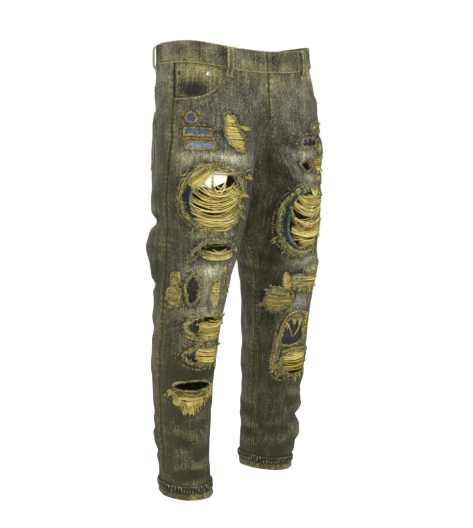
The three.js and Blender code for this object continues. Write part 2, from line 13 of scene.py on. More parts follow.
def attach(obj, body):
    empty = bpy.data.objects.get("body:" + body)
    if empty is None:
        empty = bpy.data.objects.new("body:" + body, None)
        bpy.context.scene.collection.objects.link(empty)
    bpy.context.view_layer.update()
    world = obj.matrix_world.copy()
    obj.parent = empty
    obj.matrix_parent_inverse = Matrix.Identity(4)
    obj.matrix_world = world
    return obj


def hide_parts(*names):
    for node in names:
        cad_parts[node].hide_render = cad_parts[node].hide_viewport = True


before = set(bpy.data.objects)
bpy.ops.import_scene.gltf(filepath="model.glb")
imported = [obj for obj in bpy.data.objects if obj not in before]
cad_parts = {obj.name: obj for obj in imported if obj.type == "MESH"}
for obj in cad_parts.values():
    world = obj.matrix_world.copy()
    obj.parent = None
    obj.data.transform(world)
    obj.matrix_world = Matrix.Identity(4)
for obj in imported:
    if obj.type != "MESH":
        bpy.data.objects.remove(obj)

LOG = logging.getLogger("jeans")
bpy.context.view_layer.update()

# Sizes are millimetres on the garment and metres in the mesh. The front faces -Y and the wearer's right
# leg is at -X. A place on a panel is (x, h): x is the distance in from the outseam, h the height.
MM = 0.001
CLOTH = 1.6
GAP = 0.3
HALF_GAP = GAP / 2
LAYER = CLOTH + GAP
WAIST_TOP = 13.0
WAIST_SEAM = -30.0
CROTCH = -308.0
OUTSEAM_ANGLE = 175.0
INSEAM_ANGLE = 12.0
HEM_TILT_RUN = 160.0
CUFF_TOP = 28.0
LEG_END = 3.0
WAIST_DEPTH = WAIST_TOP - WAIST_SEAM
# The yoke seam's height at the outseam, and how much lower it is at the middle of the back.
YOKE_SIDE, YOKE_DROP = -72.0, 28.0
# How far from a cut a grid's places may move onto it, and how far round an outline is looked at.
CUT_REACH, CUT_MARGIN = 6.0, 9
# How far apart the places of a sewn row are.
ROW_STEP = 3.0
# The fly: how far it laps and stands off, and the heights of its foot, its curve and its straight part.
FLY_REACH, FLY_RAISE = 4.0, 2.5
FLY_FOOT, FLY_CURVE, FLY_STRAIGHT = -152.0, -122.0, -92.0
# How far apart the puckers of a seam lie.
PUCKER_PITCH = 10.5

Array = np.ndarray
Outline = np.ndarray
Colour = tuple[float, float, float]


def smooth(start: float, end: float, value: Array | float) -> Array:
    """Rises softly from 0 at start to 1 at end.

    Args:
        start: Value at which the result is 0.
        end: Value at which the result is 1.
        value: What is measured.

    Returns:
        The share, from 0 to 1.
    """
    t = np.clip((value - start) / (end - start), 0.0, 1.0)
    return t * t * (3.0 - 2.0 * t)


def bell(distance: Array, width: float) -> Array:
    """Returns 1 at distance 0, fading out over the width."""
    return np.exp(-((distance / width) ** 2))


def signed_power(value: Array, power: Array | float) -> Array:
    """Returns the power of a value's size with the value's own sign."""
    return np.sign(value) * np.abs(value) ** power


def pucker(h: Array) -> Array:
    """Returns the wave that a drawn-up seam makes along its length, from -1 to 1."""
    return np.sin(h * 2 * math.pi / PUCKER_PITCH + 3.4 * np.sin(h / 23))


def fly_reach(inner: Array | float, h: Array) -> Array:
    """Returns how far the fly's edge reaches over the middle, at distances in from it."""
    return FLY_REACH * smooth(14, 0, inner) * smooth(FLY_CURVE, FLY_STRAIGHT, h)


def fly_raise(inner: Array | float, h: Array) -> Array:
    """Returns how far the fly stands off the front, at distances in from the middle."""
    return FLY_RAISE * smooth(40, 27, inner) * smooth(FLY_FOOT, FLY_CURVE, h)


def linear(part: int) -> float:
    """Returns the linear value of one part of an 8-bit display colour."""
    share = part / 255.0
    return share / 12.92 if share <= 0.04045 else ((share + 0.055) / 1.055) ** 2.4


def srgb(red: int, green: int, blue: int) -> Colour:
    """Returns the linear colour of an 8-bit display colour."""
    return (linear(red), linear(green), linear(blue))


def swatches(*colours: tuple[int, int, int]) -> tuple[Colour, ...]:
    """Returns the linear colours of 8-bit display colours."""
    return tuple(srgb(*colour) for colour in colours)


# ------------------------------------------------------------------ the garment's surface

class Kind(Enum):
    """The half of a leg that a panel covers."""

    FRONT = "front"
    BACK = "back"


@dataclass(frozen=True)
class Fold:
    """A large soft ridge, or a trough where its rise is below 0."""

    angle: float
    h: float
    reach: float
    run: float
    rise: float


@dataclass(frozen=True)
class Crease:
    """A soft trough with raised shoulders, between two places given as (angle, height)."""

    start: tuple[float, float]
    end: tuple[float, float]
    width: float
    depth: float


# The front falls back between the thighs: how deep, from which height, full between which two, how wide.
DIP_DEPTH, DIP_TOP, DIP_FULL, DIP_RISING, DIP_REACH = 36.0, -105.0, -195.0, -225.0, 72.0

# h, front drop, back drop, fork angle, gap, inner radius, outer radius, centre y, front radius, back radius
HIPS = (
    (WAIST_TOP, -19, -20, 90, 0, 92, 163, 12, 115, 126),
    (WAIST_SEAM, -19, -20, 90, 0, 92, 165, 11, 116, 128),
    (-95, -20, -14, 90, 0, 92, 170, 6, 116, 134),
    (-160, -10, -4, 84, 0, 92, 166, 2, 118, 138),
    (-205, -7, 2, 66, 0, 92, 142, 0, 121, 136),
    (-245, -5, 6, 46, 0, 92, 118, 0, 122, 130),
    (-280, -2, 10, 22, 0, 92, 100, 0, 120, 124),
    (CROTCH, 10, 10, 0, 0, 92, 94, 0, 117, 118),
)
LEFT_HIP_EXTRA = (2, 5, 14, 15, 14, 12, 9, 7)
LEFT_HIPS = tuple(row[:6] + (row[6] + extra,) + row[7:] for row, extra in zip(HIPS, LEFT_HIP_EXTRA))
RIGHT_LEG = (
    (-360, 0, 0, 0, 10, 84, 90, 0, 106, 108),
    (-445, 0, 0, 0, 35, 70, 81, 2, 90, 96),
    (-545, 0, 0, 0, 59, 62, 72, 5, 78, 82),
    (-650, 0, 0, 0, 70, 61, 66, 9, 70, 73),
    (-755, 0, 0, 0, 74, 58, 59, 15, 62, 64),
    (-850, 0, 0, 0, 74, 54, 54, 19, 57, 59),
    (-895, 0, 0, 0, 72, 53, 53, 18, 55, 57),
    (-926, 0, 0, 0, 69, 54, 54, 16, 56, 57),
)
LEFT_LEG = (
    (-356, 0, 0, 0, 8, 88, 94, 0, 112, 108),
    (-440, 0, 0, 0, 30, 79, 84, 0, 98, 96),
    (-540, 0, 0, 0, 41, 71, 73, 5, 86, 82),
    (-645, 0, 0, 0, 44, 67, 70, 12, 77, 74),
    (-748, 0, 0, 0, 48, 63, 67, 20, 70, 69),
    (-830, 0, 0, 0, 51, 60, 63, 28, 66, 66),
    (-876, 0, 0, 0, 51, 56, 58, 30, 60, 60),
    (-915, 0, 0, 0, 50, 55, 56, 31, 58, 58),
)
RIGHT_FOLDS = (
    Fold(218, -394, 50, 46, 16), Fold(220, -434, 50, 50, 12),
    Fold(204, -352, 50, 26, -5), Fold(222, -318, 44, 34, 4),
    Fold(250, -640, 60, 40, 4), Fold(240, -800, 70, 34, 4),
)
LEFT_FOLDS = (
    Fold(216, -430, 44, 48, 10), Fold(250, -650, 60, 40, 4),
    Fold(142, -845, 60, 46, 9), Fold(250, -770, 70, 34, 4),
)
RIGHT_CREASES = (
    # whiskers on the hip
    Crease((104, -176), (150, -148), 6, 0.9), Crease((106, -204), (156, -192), 7, 0.8),
    Crease((112, -52), (92, -128), 5, 0.7), Crease((150, -128), (185, -150), 8, 0.9),
    # inner thigh
    Crease((58, -306), (96, -236), 9, 2.0), Crease((34, -352), (66, -300), 8, 1.8),
    Crease((70, -228), (92, -188), 7, 1.6),
    # round the knee
    Crease((236, -362), (186, -330), 9, 4.0), Crease((240, -484), (196, -478), 9, 3.4),
    Crease((150, -372), (186, -360), 8, 1.4), Crease((168, -408), (204, -402), 8, 1.6),
    Crease((244, -438), (292, -446), 8, 2.4), Crease((240, -394), (292, -382), 9, 2.2),
    Crease((-22, -446), (30, -428), 8, 2.0), Crease((-40, -400), (14, -388), 9, 1.8),
    # calf
    Crease((198, -560), (262, -592), 12, 2.0), Crease((242, -704), (304, -690), 10, 2.6),
    Crease((168, -735), (226, -752), 9, 1.7), Crease((40, -600), (4, -560), 11, 1.7),
    # ankle
    Crease((60, -762), (132, -776), 12, 2.8), Crease((96, -806), (172, -790), 10, 2.5),
    Crease((44, -822), (112, -838), 14, 3.6), Crease((70, -868), (160, -880), 10, 4.5),
    Crease((200, -778), (292, -792), 8, 2.9), Crease((190, -838), (300, -826), 8, 2.9),
    Crease((206, -868), (312, -874), 7, 2.6), Crease((-30, -786), (36, -774), 12, 3.9),
    Crease((-40, -846), (30, -834), 10, 3.9),
    # seat
    Crease((262, -262), (332, -292), 9, 2.6), Crease((226, -302), (290, -322), 8, 2.2),
    Crease((272, -214), (320, -236), 8, 1.6),
)
LEFT_CREASES = (
    Crease((98, -168), (142, -142), 6, 0.8), Crease((100, -198), (150, -186), 7, 0.8),
    Crease((150, -126), (184, -146), 8, 0.8),
    # drapes that hang from the crotch
    Crease((84, -196), (112, -262), 9, 2.0), Crease((64, -232), (92, -300), 9, 1.8),
    Crease((28, -346), (80, -300), 9, 1.8), Crease((96, -176), (100, -224), 6, 1.4),
    # round the knee
    Crease((190, -386), (240, -372), 9, 2.4), Crease((200, -420), (262, -412), 8, 2.6),
    Crease((196, -462), (250, -482), 9, 2.6), Crease((212, -446), (280, -456), 8, 2.4),
    Crease((10, -424), (64, -444), 10, 1.8), Crease((-34, -452), (24, -462), 8, 2.0),
    Crease((4, -520), (48, -506), 10, 1.3), Crease((234, -396), (294, -384), 9, 2.0),
    # calf
    Crease((16, -640), (56, -622), 10, 1.7), Crease((200, -566), (262, -598), 12, 2.0),
    Crease((240, -700), (306, -688), 10, 2.6), Crease((112, -724), (158, -736), 12, 3.5),
    # ankle
    Crease((66, -752), (142, -760), 12, 4.5), Crease((84, -786), (150, -800), 12, 4.5),
    Crease((120, -792), (176, -800), 12, 5.6), Crease((30, -822), (104, -816), 12, 3.5),
    Crease((80, -848), (168, -858), 10, 3.9), Crease((200, -758), (300, -774), 8, 3.2),
    Crease((192, -812), (292, -822), 8, 3.2), Crease((208, -852), (312, -844), 7, 2.9),
    Crease((-44, -770), (24, -784), 12, 3.9), Crease((-36, -838), (30, -830), 10, 3.9),
    # seat
    Crease((260, -264), (334, -290), 9, 2.6), Crease((228, -304), (292, -320), 8, 2.2),
    Crease((274, -216), (318, -240), 8, 1.6),
)


@dataclass(frozen=True)
class LegShape:
    """The sizes of one leg with its half of the hips."""

    name: str
    side: int
    hem: float
    tilt: tuple[float, float]
    rows: tuple[tuple[float, ...], ...]
    folds: tuple[Fold, ...]
    creases: tuple[Crease, ...]
    seed: int
    waves: int = 16
    wave_height: float = 0.26


class Leg:
    """The outer surface of one leg, as a function of angle and height."""

    def __init__(self, shape: LegShape) -> None:
        """Prepares the section curve, the small waves and the panel widths.

        Args:
            shape: The leg's sizes.
        """
        self.shape = shape
        self.name = shape.name
        self.side = shape.side
        self.hem = shape.hem
        table = np.array(sorted(shape.rows), float)
        self.knots = table[:, 0]
        self.values = table[:, 1:]
        step = np.diff(self.knots)
        slope = np.diff(self.values, axis=0) / step[:, None]
        before = (2 * step[1:] + step[:-1])[:, None]
        after = (step[1:] + 2 * step[:-1])[:, None]
        a, b = slope[:-1], slope[1:]
        same = a * b > 0
        safe_a, safe_b = np.where(same, a, 1.0), np.where(same, b, 1.0)
        inner = np.where(same, (before + after) / (before / safe_a + after / safe_b), 0.0)
        self.tangents = np.vstack([slope[:1], inner, slope[-1:]])
        rng = np.random.default_rng(shape.seed)
        self.turns = rng.integers(2, 13, shape.waves)
        self.climbs = 2 * math.pi / rng.uniform(34, 150, shape.waves) * rng.choice([-1, 1], shape.waves)
        self.phases = rng.uniform(0, 2 * math.pi, shape.waves)
        self.run_heights = np.arange(self.hem - 4, WAIST_TOP + 4, 2.0)
        self.runs = {kind: self._runs(kind) for kind in Kind}

    def section(self, h: Array) -> Array:
        """Finds the nine section sizes at each height.

        Args:
            h: Heights.

        Returns:
            The sizes, with a last axis of 9.
        """
        value = np.clip(h, self.knots[0], self.knots[-1])
        i = np.clip(np.searchsorted(self.knots, value, side="right") - 1, 0, len(self.knots) - 2)
        step = self.knots[i + 1] - self.knots[i]
        t = ((value - self.knots[i]) / step)[..., None]
        step = step[..., None]
        return ((2 * t**3 - 3 * t**2 + 1) * self.values[i] + (t**3 - 2 * t**2 + t) * step * self.tangents[i]
                + (3 * t**2 - 2 * t**3) * self.values[i + 1] + (t**3 - t**2) * step * self.tangents[i + 1])

    def surface(self, angle: Array, h: Array) -> Array:
        """Returns the points of the smooth surface, without its creases.

        Args:
            angle: Degrees round the leg: 90 the front, 180 the outer side, 270 the back.
            h: Heights.

        Returns:
            Points in millimetres, with a last axis of 3.
        """
        s = self.section(h)
        cos, sin = np.cos(np.radians(angle)), np.sin(np.radians(angle))
        front = angle <= 180
        square = smooth(-300, -120, h)
        power = 2.0 / (2.0 + np.where(front, 0.75, 0.35) * square)
        outer = cos < 0
        across = np.where(outer, signed_power(cos, power), cos)
        along = np.where(outer, signed_power(sin, power), sin)
        rise = np.zeros_like(cos)
        for fold in self.shape.folds:
            turn = np.mod(angle - fold.angle + 180, 360) - 180
            near = smooth(1, 0, np.abs(turn) / fold.reach)
            rise += fold.rise * near * smooth(1, 0, np.abs(h - fold.h) / fold.run)
        u = -(np.where(outer, s[..., 5], s[..., 4]) + rise) * across
        y = -(np.where(sin > 0, s[..., 7], s[..., 8]) + rise) * along
        turn = np.clip(np.abs(180 - angle) / (180 - s[..., 2]), 0, 1)
        to_edge = smooth(0, 1, np.where(front, turn**1.4, turn))
        hem_share = smooth(self.hem + HEM_TILT_RUN, self.hem, h)
        tilt_x, tilt_y = self.shape.tilt
        z = h + np.where(front, s[..., 0], s[..., 1]) * to_edge + hem_share * (tilt_x * u + tilt_y * y)
        x = self.side * (s[..., 4] * np.cos(np.radians(s[..., 2])) + s[..., 3] + u)
        dip = DIP_DEPTH * smooth(DIP_TOP, DIP_FULL, h) * smooth(CROTCH, DIP_RISING, h)
        dip = dip * smooth(DIP_REACH, 0, np.abs(x))
        return np.stack([x, s[..., 6] + y + np.where(front, dip, 0.0), z], axis=-1)

    def crease_depth(self, angle: Array, h: Array) -> Array:
        """Finds how far the creases push the cloth out.

        Args:
            angle: Degrees round the leg.
            h: Heights.

        Returns:
            The push, below 0 where it is in.
        """
        push = np.zeros(np.broadcast(angle, h).shape)
        for crease in self.shape.creases:
            (a0, h0), (a1, h1) = crease.start, crease.end
            s = self.section(np.array((h0 + h1) / 2))
            per_degree = math.pi / 180 * float(s[4] + s[5] + s[7] + s[8]) / 4
            u = (np.mod(angle - a0 + 180, 360) - 180) * per_degree
            v = h - h0
            du, dv = (a1 - a0) * per_degree, h1 - h0
            length = math.hypot(du, dv)
            t = np.clip((u * du + v * dv) / length**2, 0, 1)
            q = np.hypot(u - t * du, v - t * dv) / crease.width
            taper = smooth(0, 0.3, t) * smooth(1, 0.7, t)
            push -= crease.depth * taper * (np.exp(-q * q) - 0.5 * np.exp(-(((q - 1.9) / 0.9) ** 2)))
        return push

    def relief(self, angle: Array, h: Array) -> Array:
        """Adds creases and small waves. They fade out at the waist and at the middle seams.

        Args:
            angle: Degrees round the leg.
            h: Heights.

        Returns:
            How far they push the cloth out.
        """
        wave = np.zeros(np.broadcast(angle, h).shape)
        for turn, climb, phase in zip(self.turns, self.climbs, self.phases):
            wave += np.sin(turn * np.radians(angle) + climb * h + phase)
        push = self.crease_depth(angle, h) + self.shape.wave_height * wave
        fork = self.section(h)[..., 2]
        round_fork = np.minimum(angle - fork, 360 - fork - angle)
        above = smooth(CROTCH - 40, CROTCH, h)
        push = push * (1 - above * (1 - smooth(0, 14, round_fork)))
        return push * smooth(WAIST_SEAM - 2, WAIST_SEAM - 34, h)

    def at(self, angle: Array, h: Array, level: Array | float = 0.0,
           creased: bool = True) -> tuple[Array, Array]:
        """Finds places on the cloth.

        Args:
            angle: Degrees round the leg.
            h: Heights.
            level: Distance out from the cloth's outer face.
            creased: False for the smooth surface.

        Returns:
            The points in millimetres and their outward normals.
        """
        angle, h = np.broadcast_arrays(np.asarray(angle, float), np.asarray(h, float))
        point = self.surface(angle, h)
        turn = self.surface(angle + 0.6, h) - self.surface(angle - 0.6, h)
        up = self.surface(angle, np.clip(h + 1.5, self.hem, WAIST_TOP))
        down = self.surface(angle, np.clip(h - 1.5, self.hem, WAIST_TOP))
        normal = np.cross(turn, up - down) * self.side
        normal /= np.linalg.norm(normal, axis=-1, keepdims=True)
        middle = (self.section(h)[..., 2] > 89) & (np.abs(point[..., 0]) < 2)
        normal[..., 0] = np.where(middle, 0.0, normal[..., 0])
        normal /= np.linalg.norm(normal, axis=-1, keepdims=True)
        offset = level + (self.relief(angle, h) if creased else 0.0)
        point = point + normal * np.broadcast_to(offset, h.shape)[..., None]
        inside = (h > CROTCH - 60) & (self.side * point[..., 0] < HALF_GAP)
        point[..., 0] = np.where(inside, self.side * HALF_GAP, point[..., 0])
        return point, normal

    def panel_angle(self, kind: Kind, share: Array, h: Array) -> Array:
        """Finds the angle of a place across a panel.

        Args:
            kind: The panel.
            share: Where it is, from the inner edge at 0 to the outseam at 1.
            h: Heights.

        Returns:
            Degrees round the leg.
        """
        fork = self.section(np.asarray(h, float))[..., 2]
        inseam = INSEAM_ANGLE * smooth(-CROTCH, -CROTCH + 112, -h)
        seam_gap = math.degrees(HALF_GAP / 90)
        inner_gap = seam_gap * smooth(88, 60, fork)
        front = kind is Kind.FRONT
        spread = 1 + (0.3 if front else 0.15) * smooth(-300, -120, h)
        inner = fork + inseam + inner_gap if front else 360 - fork + inseam - inner_gap
        outer = OUTSEAM_ANGLE - seam_gap if front else OUTSEAM_ANGLE + seam_gap
        return inner + (outer - inner) * signed_power(share, spread)

    def _runs(self, kind: Kind) -> Array:
        """Measures the panel's width at each of the run heights.

        Args:
            kind: The panel.

        Returns:
            The widths.
        """
        share = np.linspace(0, 1, 25)[None, :]
        h = np.repeat(self.run_heights[:, None], 25, axis=1)
        points = self.surface(self.panel_angle(kind, share, h), h)
        return np.linalg.norm(np.diff(points, axis=1), axis=-1).sum(axis=1)

    def run(self, kind: Kind, h: Array | float) -> Array:
        """Returns the panel's width at a height."""
        return np.interp(h, self.run_heights, self.runs[kind])

    def place(self, kind: Kind, x: Array | float, h: Array | float, level: Array | float = 0.0,
              creased: bool = True) -> tuple[Array, Array]:
        """Finds places by their distance in from the outseam.

        Args:
            kind: The panel.
            x: Distances in from the outseam.
            h: Heights.
            level: Distance out from the cloth.
            creased: False for the smooth surface.

        Returns:
            The points in millimetres and their outward normals.
        """
        x, h = np.broadcast_arrays(np.asarray(x, float), np.asarray(h, float))
        share = 1 - x / self.run(kind, h)
        return self.at(self.panel_angle(kind, share, h), h, level, creased)


# ------------------------------------------------------------------ outlines

@dataclass(frozen=True)
class Oval:
    """An oval or rounded rectangle on a panel, with an edge that wanders as torn cloth does."""

    x: float
    h: float
    width: float
    height: float
    turn: float = 0.0
    square: float = 2.0
    ragged: float = 0.0
    corners: int = 56

    def outline(self, grow: float = 0.0) -> Outline:
        """Draws the outline, grown outwards by a distance.

        Args:
            grow: The distance.

        Returns:
            Its (x, h) places.
        """
        a = np.linspace(0, 2 * math.pi, self.corners, endpoint=False)
        cos, sin = np.cos(a), np.sin(a)
        power = 2.0 / self.square
        seed = self.x * 0.7 + self.h * 0.3
        wander = np.sin(3 * a + seed) + 0.7 * np.sin(5 * a - 2 * seed) + 0.6 * np.sin(11 * a + 3 * seed)
        stray = 1 + self.ragged * wander
        across = (self.width / 2 + grow) * signed_power(cos, power) * stray
        rise = (self.height / 2 + grow) * signed_power(sin, power) * stray
        lean = math.radians(self.turn)
        return np.stack([self.x + across * math.cos(lean) - rise * math.sin(lean),
                         self.h + across * math.sin(lean) + rise * math.cos(lean)], axis=-1)


def inside_outline(places: Array, outline: Outline) -> Array:
    """Tells which (x, h) places lie inside an outline.

    Args:
        places: Places, with a last axis of 2.
        outline: The outline.

    Returns:
        True where a place is inside.
    """
    x, h = places[..., 0, None], places[..., 1, None]
    a, b = outline, np.roll(outline, -1, axis=0)
    crosses = (a[:, 1] > h) != (b[:, 1] > h)
    rise = np.where(b[:, 1] == a[:, 1], 1e-9, b[:, 1] - a[:, 1])
    at = a[:, 0] + (h - a[:, 1]) / rise * (b[:, 0] - a[:, 0])
    return (np.logical_and(crosses, x < at).sum(axis=-1) % 2) == 1


def nearest_on_outline(places: Array, outline: Outline) -> tuple[Array, Array]:
    """Finds the nearest place on an outline.

    Args:
        places: Places, with a last axis of 2.
        outline: The outline.

    Returns:
        The nearest places and their distances.
    """
    a, b = outline, np.roll(outline, -1, axis=0)
    side = b - a
    length = np.maximum((side**2).sum(axis=-1), 1e-9)
    t = np.clip(((places[..., None, :] - a) * side).sum(axis=-1) / length, 0, 1)
    found = a + t[..., None] * side
    distance = np.linalg.norm(places[..., None, :] - found, axis=-1)
    best = distance.argmin(axis=-1)
    nearest = np.take_along_axis(found, best[..., None, None], axis=-2)[..., 0, :]
    return nearest, distance.min(axis=-1)


def row_span(outline: Outline, h: float) -> tuple[float, float] | None:
    """Finds where a level line enters and leaves an outline.

    Args:
        outline: The outline.
        h: The line's height.

    Returns:
        The two distances in from the outseam, or None where it misses.
    """
    a, b = outline, np.roll(outline, -1, axis=0)
    crosses = (a[:, 1] > h) != (b[:, 1] > h)
    if not crosses.any():
        return None
    a, b = a[crosses], b[crosses]
    at = a[:, 0] + (h - a[:, 1]) / (b[:, 1] - a[:, 1]) * (b[:, 0] - a[:, 0])
    return float(at.min()), float(at.max())


# ------------------------------------------------------------------ meshes

@dataclass
class Paint:
    """Values at a mesh's points for the finishes: light is worn pale and painted highlight, dark is dirt and
    painted shade.
    """

    light: Array
    ochre: Array
    dark: Array
    fray: Array

    @classmethod
    def plain(cls, shape: tuple[int, ...], light: float = 0.0) -> "Paint":
        """Returns cloth that is equally worn all over, with no stain, dirt or fray."""
        return cls(np.full(shape, light), np.zeros(shape), np.zeros(shape), np.zeros(shape))

    def wear_and_shade(self, blots: Sequence["Blot"], x: Array, h: Array) -> None:
        """Adds the blots' worn paleness, painted highlights, stain, dirt and painted shade.

        Args:
            blots: The blots.
            x: The points' distances in from the outseam.
            h: The points' heights.
        """
        for blot in blots:
            share = blot.share(x, h)
            self.light += blot.light * share
            self.ochre += blot.ochre * share
            self.dark += blot.dark * share


@dataclass
class Flat:
    """The flat size of a cloth piece, in metres."""

    width: float
    length: float
    area: float


def new_object(name: str, points: Array, faces: list[list[int]]) -> bpy.types.Object:
    """Makes a mesh object from points in millimetres.

    Args:
        name: The piece's name.
        points: The points.
        faces: Point numbers of each face.

    Returns:
        The object, at the origin.
    """
    mesh = bpy.data.meshes.new(name)
    mesh.from_pydata((points * MM).tolist(), [], faces)
    mesh.update()
    mesh.polygons.foreach_set("use_smooth", [True] * len(mesh.polygons))
    item = bpy.data.objects.new(name, mesh)
    bpy.context.scene.collection.objects.link(item)
    return item


def set_attribute(item: bpy.types.Object, name: str, values: Array) -> None:
    """Stores a colour-like attribute of three values at each point.

    Args:
        item: The piece.
        name: The attribute's name.
        values: The values, as (point, 3).
    """
    attribute = item.data.attributes.new(name, "FLOAT_COLOR", "POINT")
    rgba = np.ones((len(item.data.vertices), 4), np.float32)
    rgba[:, :3] = values
    attribute.data.foreach_set("color", rgba.ravel())


class Shell:
    """A sheet of cloth with a wall, from a grid of places."""

    def __init__(self, outer: Array, inner: Array, uv: Array, paint: Paint, kept: Array | None = None,
                 closed: bool = False) -> None:
        """Takes the two faces of the wall.

        Args:
            outer: Grid of points of the outer face.
            inner: Grid of points of the inner face.
            uv: Place of each point on the flat cloth, in metres. A closed grid has one more column.
            paint: Values at the grid's points.
            kept: Which of the grid's quads there are.
            closed: Whether the last column joins the first.
        """
        self.outer = outer
        self.inner = inner
        self.uv = uv
        self.paint = paint
        self.closed = closed
        rows, cols = outer.shape[:2]
        self.kept = np.ones((rows - 1, cols if closed else cols - 1), bool) if kept is None else kept

    def build(self, name: str) -> bpy.types.Object:
        """Makes the closed mesh, with its UV map and attributes.

        Args:
            name: The piece's name.

        Returns:
            The piece.
        """
        rows, cols = self.outer.shape[:2]
        i, j = np.nonzero(self.kept)
        corner_i = np.stack([i, i + 1, i + 1, i], axis=-1)
        corner_j = np.stack([j, j, j + 1, j + 1], axis=-1)
        index = corner_i * cols + corner_j % cols
        first = self.outer.reshape(-1, 3)[index[:, :3]]
        facing = np.cross(first[:, 1] - first[:, 0], first[:, 2] - first[:, 1])
        out = (self.outer - self.inner).reshape(-1, 3)[index[:, 0]]
        turned = (facing * out).sum(axis=-1).sum() < 0
        quads, uv_i, uv_j = [], [], []
        order = [3, 2, 1, 0] if turned else [0, 1, 2, 3]
        size = rows * cols
        quads.append(index[:, order])
        uv_i.append(corner_i[:, order])
        uv_j.append(corner_j[:, order])
        back = order[::-1]
        quads.append(index[:, back] + size)
        uv_i.append(corner_i[:, back])
        uv_j.append(corner_j[:, back])
        padded = np.zeros((rows + 1, self.kept.shape[1] + 2), bool)
        padded[1:-1, 1:-1] = self.kept
        if self.closed:
            padded[:, 0] = padded[:, -2]
            padded[:, -1] = padded[:, 1]
        sides = ((0, -1, (0, 1)), (1, 0, (1, 2)), (0, 1, (2, 3)), (-1, 0, (3, 0)))
        for di, dj, (a, b) in sides:
            open_side = ~padded[i + 1 + di, j + 1 + dj]
            ends_i = corner_i[open_side][:, [a, b]]
            ends_j = corner_j[open_side][:, [a, b]]
            ends = index[open_side][:, [a, b]]
            wall = np.stack([ends[:, 1], ends[:, 0], ends[:, 0] + size, ends[:, 1] + size], axis=-1)
            wall_i = ends_i[:, [1, 0, 0, 1]]
            wall_j = ends_j[:, [1, 0, 0, 1]]
            if turned:
                wall, wall_i, wall_j = wall[:, ::-1], wall_i[:, ::-1], wall_j[:, ::-1]
            quads.append(wall)
            uv_i.append(wall_i)
            uv_j.append(wall_j)
        faces = np.concatenate(quads)
        used, compact = np.unique(faces, return_inverse=True)
        faces = compact.reshape(faces.shape)
        points = np.concatenate([self.outer.reshape(-1, 3), self.inner.reshape(-1, 3)])[used]
        item = new_object(name, points, faces.tolist())
        layer = item.data.uv_layers.new(name="cloth")
        uv = self.uv[np.concatenate(uv_i), np.concatenate(uv_j)]
        layer.data.foreach_set("uv", uv.reshape(-1).astype(np.float32))
        p = self.paint
        tint = np.stack([p.light.ravel(), p.ochre.ravel(), p.dark.ravel()], axis=-1)
        tint = np.concatenate([tint, tint])[used]
        zone = np.zeros((2 * size, 3))
        zone[:, 0] = np.concatenate([p.fray.ravel(), p.fray.ravel()])
        zone[size:, 1] = 1.0
        set_attribute(item, "tint", tint)
        set_attribute(item, "zone", zone[used])
        return item


def grid_area(points: Array, kept: Array | None = None) -> float:
    """Adds up the area of a grid's quads.

    Args:
        points: The grid's points.
        kept: Which of its quads there are.

    Returns:
        The area in square metres.
    """
    a = points[1:, 1:] - points[:-1, :-1]
    b = points[1:, :-1] - points[:-1, 1:]
    area = np.linalg.norm(np.cross(a, b), axis=-1) / 2
    return float((area if kept is None else area[kept]).sum()) * MM * MM


def flat_of(points: Array, kept: Array | None = None) -> Flat:
    """Measures the flat size of a sheet from its smooth surface, a grid of rows down the cloth.

    Args:
        points: The grid's points.
        kept: Which of its quads there are.

    Returns:
        The flat size.
    """
    across = np.linalg.norm(np.diff(points, axis=1), axis=-1)
    down = np.linalg.norm(np.diff(points, axis=0), axis=-1)
    if kept is not None:
        shown_rows = np.zeros(across.shape, bool)
        shown_rows[:-1] |= kept
        shown_rows[1:] |= kept
        shown_cols = np.zeros(down.shape, bool)
        shown_cols[:, :-1] |= kept
        shown_cols[:, 1:] |= kept
        across, down = across * shown_rows, down * shown_cols
    width, length = across.sum(axis=1).max() * MM, down.sum(axis=0).max() * MM
    area = min(grid_area(points, kept), width * length)
    return Flat(round(float(width), 3), round(float(length), 3), area)


